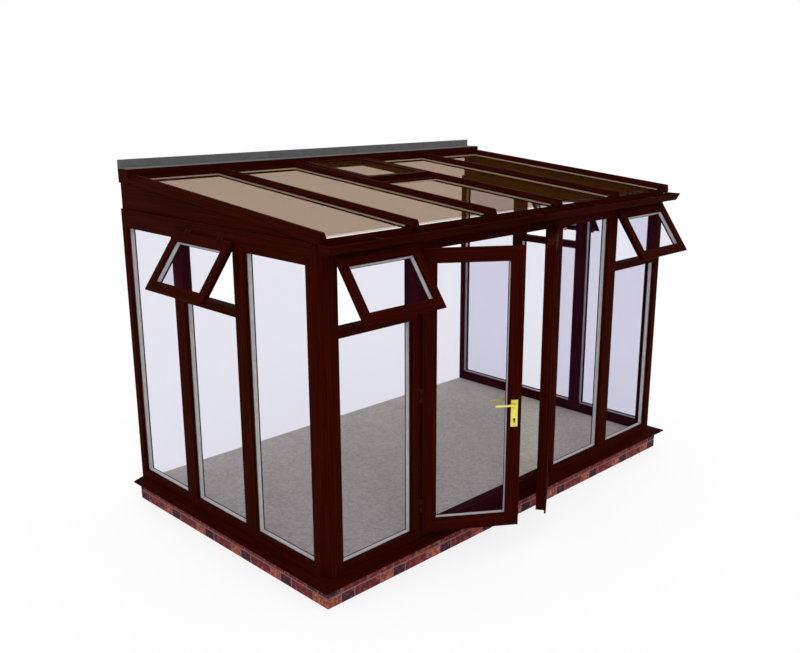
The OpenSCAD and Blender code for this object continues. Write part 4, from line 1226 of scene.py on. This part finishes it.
@dataclass
class Studio:
    """Floor, lamps, world and camera."""

    camera_place: tuple[float, float, float] = (-5.3469, -5.3393, 3.2784)
    heading: float = 45.0
    tilt: float = 15.0
    focal_pixels: float = 917.3
    image_width: float = 800.0
    image_height: float = 653.0
    centre_x: float = 414.3
    centre_y: float = 333.6
    sensor: float = 36.0
    farthest: float = 100.0
    floor_size: float = 40.0
    floor_white: float = 0.8
    floor_drop: float = 0.5 * MILLIMETRE
    floor_low: float = 0.955
    floor_high: float = 0.97
    sun_strength: float = 0.7
    sun_width: float = 40.0
    sun_turn: tuple[float, float, float] = (48.0, -8.0, -28.0)
    sky_strength: float = 0.98

    def floor(self) -> Object:
        """Makes the white floor that keeps the object's shadow.

        Returns:
            The floor.
        """
        tree = ShaderTree("white_floor")
        tones = [(place, (grey, grey, grey)) for place, grey in enumerate((self.floor_low, self.floor_high))]
        colour = tree.ramp(tree.noise(tree.place(), scale=3.0, detail=3.0), tones)
        surface = tree.add("ShaderNodeBsdfDiffuse", {"Color": colour})
        white = tree.add("ShaderNodeEmission")
        share = tree.spread(tree.seen(), 0.0, self.floor_white)
        mixed = tree.mixed(share, surface.outputs["BSDF"], white.outputs["Emission"])
        tree.join(mixed, tree.output.inputs["Surface"])
        half = self.floor_size / 2
        corners = [(-half, -half, 0), (half, -half, 0), (half, half, 0), (-half, half, 0)]
        data = bpy.data.meshes.new("floor")
        data.from_pydata(corners, [], [(0, 1, 2, 3)])
        data.materials.append(tree.material)
        made = new_object("studio_floor", data)
        made.location.z = -self.floor_drop
        return made

    def world(self) -> None:
        """Sets a plain sky that shows as white to the camera, to metal and through glass."""
        world = bpy.data.worlds.new("plain_sky")
        world.use_nodes = True
        tree = ShadingTree(world.node_tree)
        tree.nodes.clear()
        output = tree.add("ShaderNodeOutputWorld")
        skies = []
        for strength in (self.sky_strength, 1.0):
            sky = tree.add("ShaderNodeBackground", {"Color": (*WHITE, 1.0), "Strength": strength})
            skies.append(sky.outputs["Background"])
        tree.join(tree.mixed(tree.seen(), *skies), output.inputs["Surface"])
        bpy.context.scene.world = world

    def lamps(self) -> None:
        """Adds one soft sun from the front left and above."""
        data = bpy.data.lights.new("soft_sun", "SUN")
        data.energy = self.sun_strength
        data.angle = math.radians(self.sun_width)
        lamp = new_object("soft_sun", data)
        lamp.rotation_euler = [math.radians(turn) for turn in self.sun_turn]

    def camera(self) -> None:
        """Places the camera where the photograph was taken from."""
        data = bpy.data.cameras.new("photo_camera")
        data.sensor_fit = "HORIZONTAL"
        data.sensor_width = self.sensor
        data.lens = self.focal_pixels * self.sensor / self.image_width
        data.shift_x = (self.image_width / 2 - self.centre_x) / self.image_width
        data.shift_y = (self.centre_y - self.image_height / 2) / self.image_width
        data.clip_end = self.farthest
        camera = new_object("photo_camera", data)
        camera.location = self.camera_place
        camera.rotation_euler = (math.radians(90 - self.tilt), 0.0, math.radians(-self.heading))
        bpy.context.scene.camera = camera

    def build(self) -> None:
        """Sets up the whole studio."""
        self.camera()
        self.floor()
        self.world()
        self.lamps()
        bpy.context.scene.view_settings.view_transform = "Standard"


def paint(nodes: list[str], material: Material) -> None:
    """Gives CAD nodes their finish.

    Args:
        nodes: Names of the nodes.
        material: The finish.
    """
    for name in nodes:
        for slot in frame["nodes"][name].material_slots:
            slot.link = "OBJECT"
            slot.material = material


def nodes_in_slot(slot: str) -> list[str]:
    """Lists the CAD nodes that the record puts in a material slot.

    Args:
        slot: Name of the slot.

    Returns:
        The names of the nodes.
    """
    return [part["node"] for part in frame["record"]["subparts"] if part["material_slot"] == slot]


def main() -> None:
    """Builds every sub-assembly in order and reports each piece."""
    logging.basicConfig(level=logging.INFO, format="%(name)s: %(message)s")
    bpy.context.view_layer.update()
    Studio().build()
    finishes = Finishes()
    dressed = {"foil": finishes.foil, "mortar": finishes.mortar, "concrete": finishes.concrete,
               "floor": finishes.floor, "glass": finishes.clear, "bronze_glass": finishes.bronze,
               "spacer": finishes.spacer, "gasket": finishes.rubber, "brass": finishes.brass,
               "steel": finishes.steel, "dark_metal": finishes.dark_metal, "lead": finishes.lead}
    for slot, material in dressed.items():
        paint(nodes_in_slot(slot), material)
        LOG.info("painted %s", slot)
    paint(["eaves_closures"], finishes.plain)
    for piece in Joinery(finishes, nodes_in_slot("foil")).build():
        LOG.info("dressed %s", piece.name)
    fanlights = [name for name in frame["nodes"] if name.endswith("fanlight_glass")]
    for trade in (Glazing(finishes, fanlights), Brickwork(finishes), Screws(finishes)):
        for piece in trade.build():
            LOG.info("built %s", piece.name)


if __name__ == "__main__":
    main()
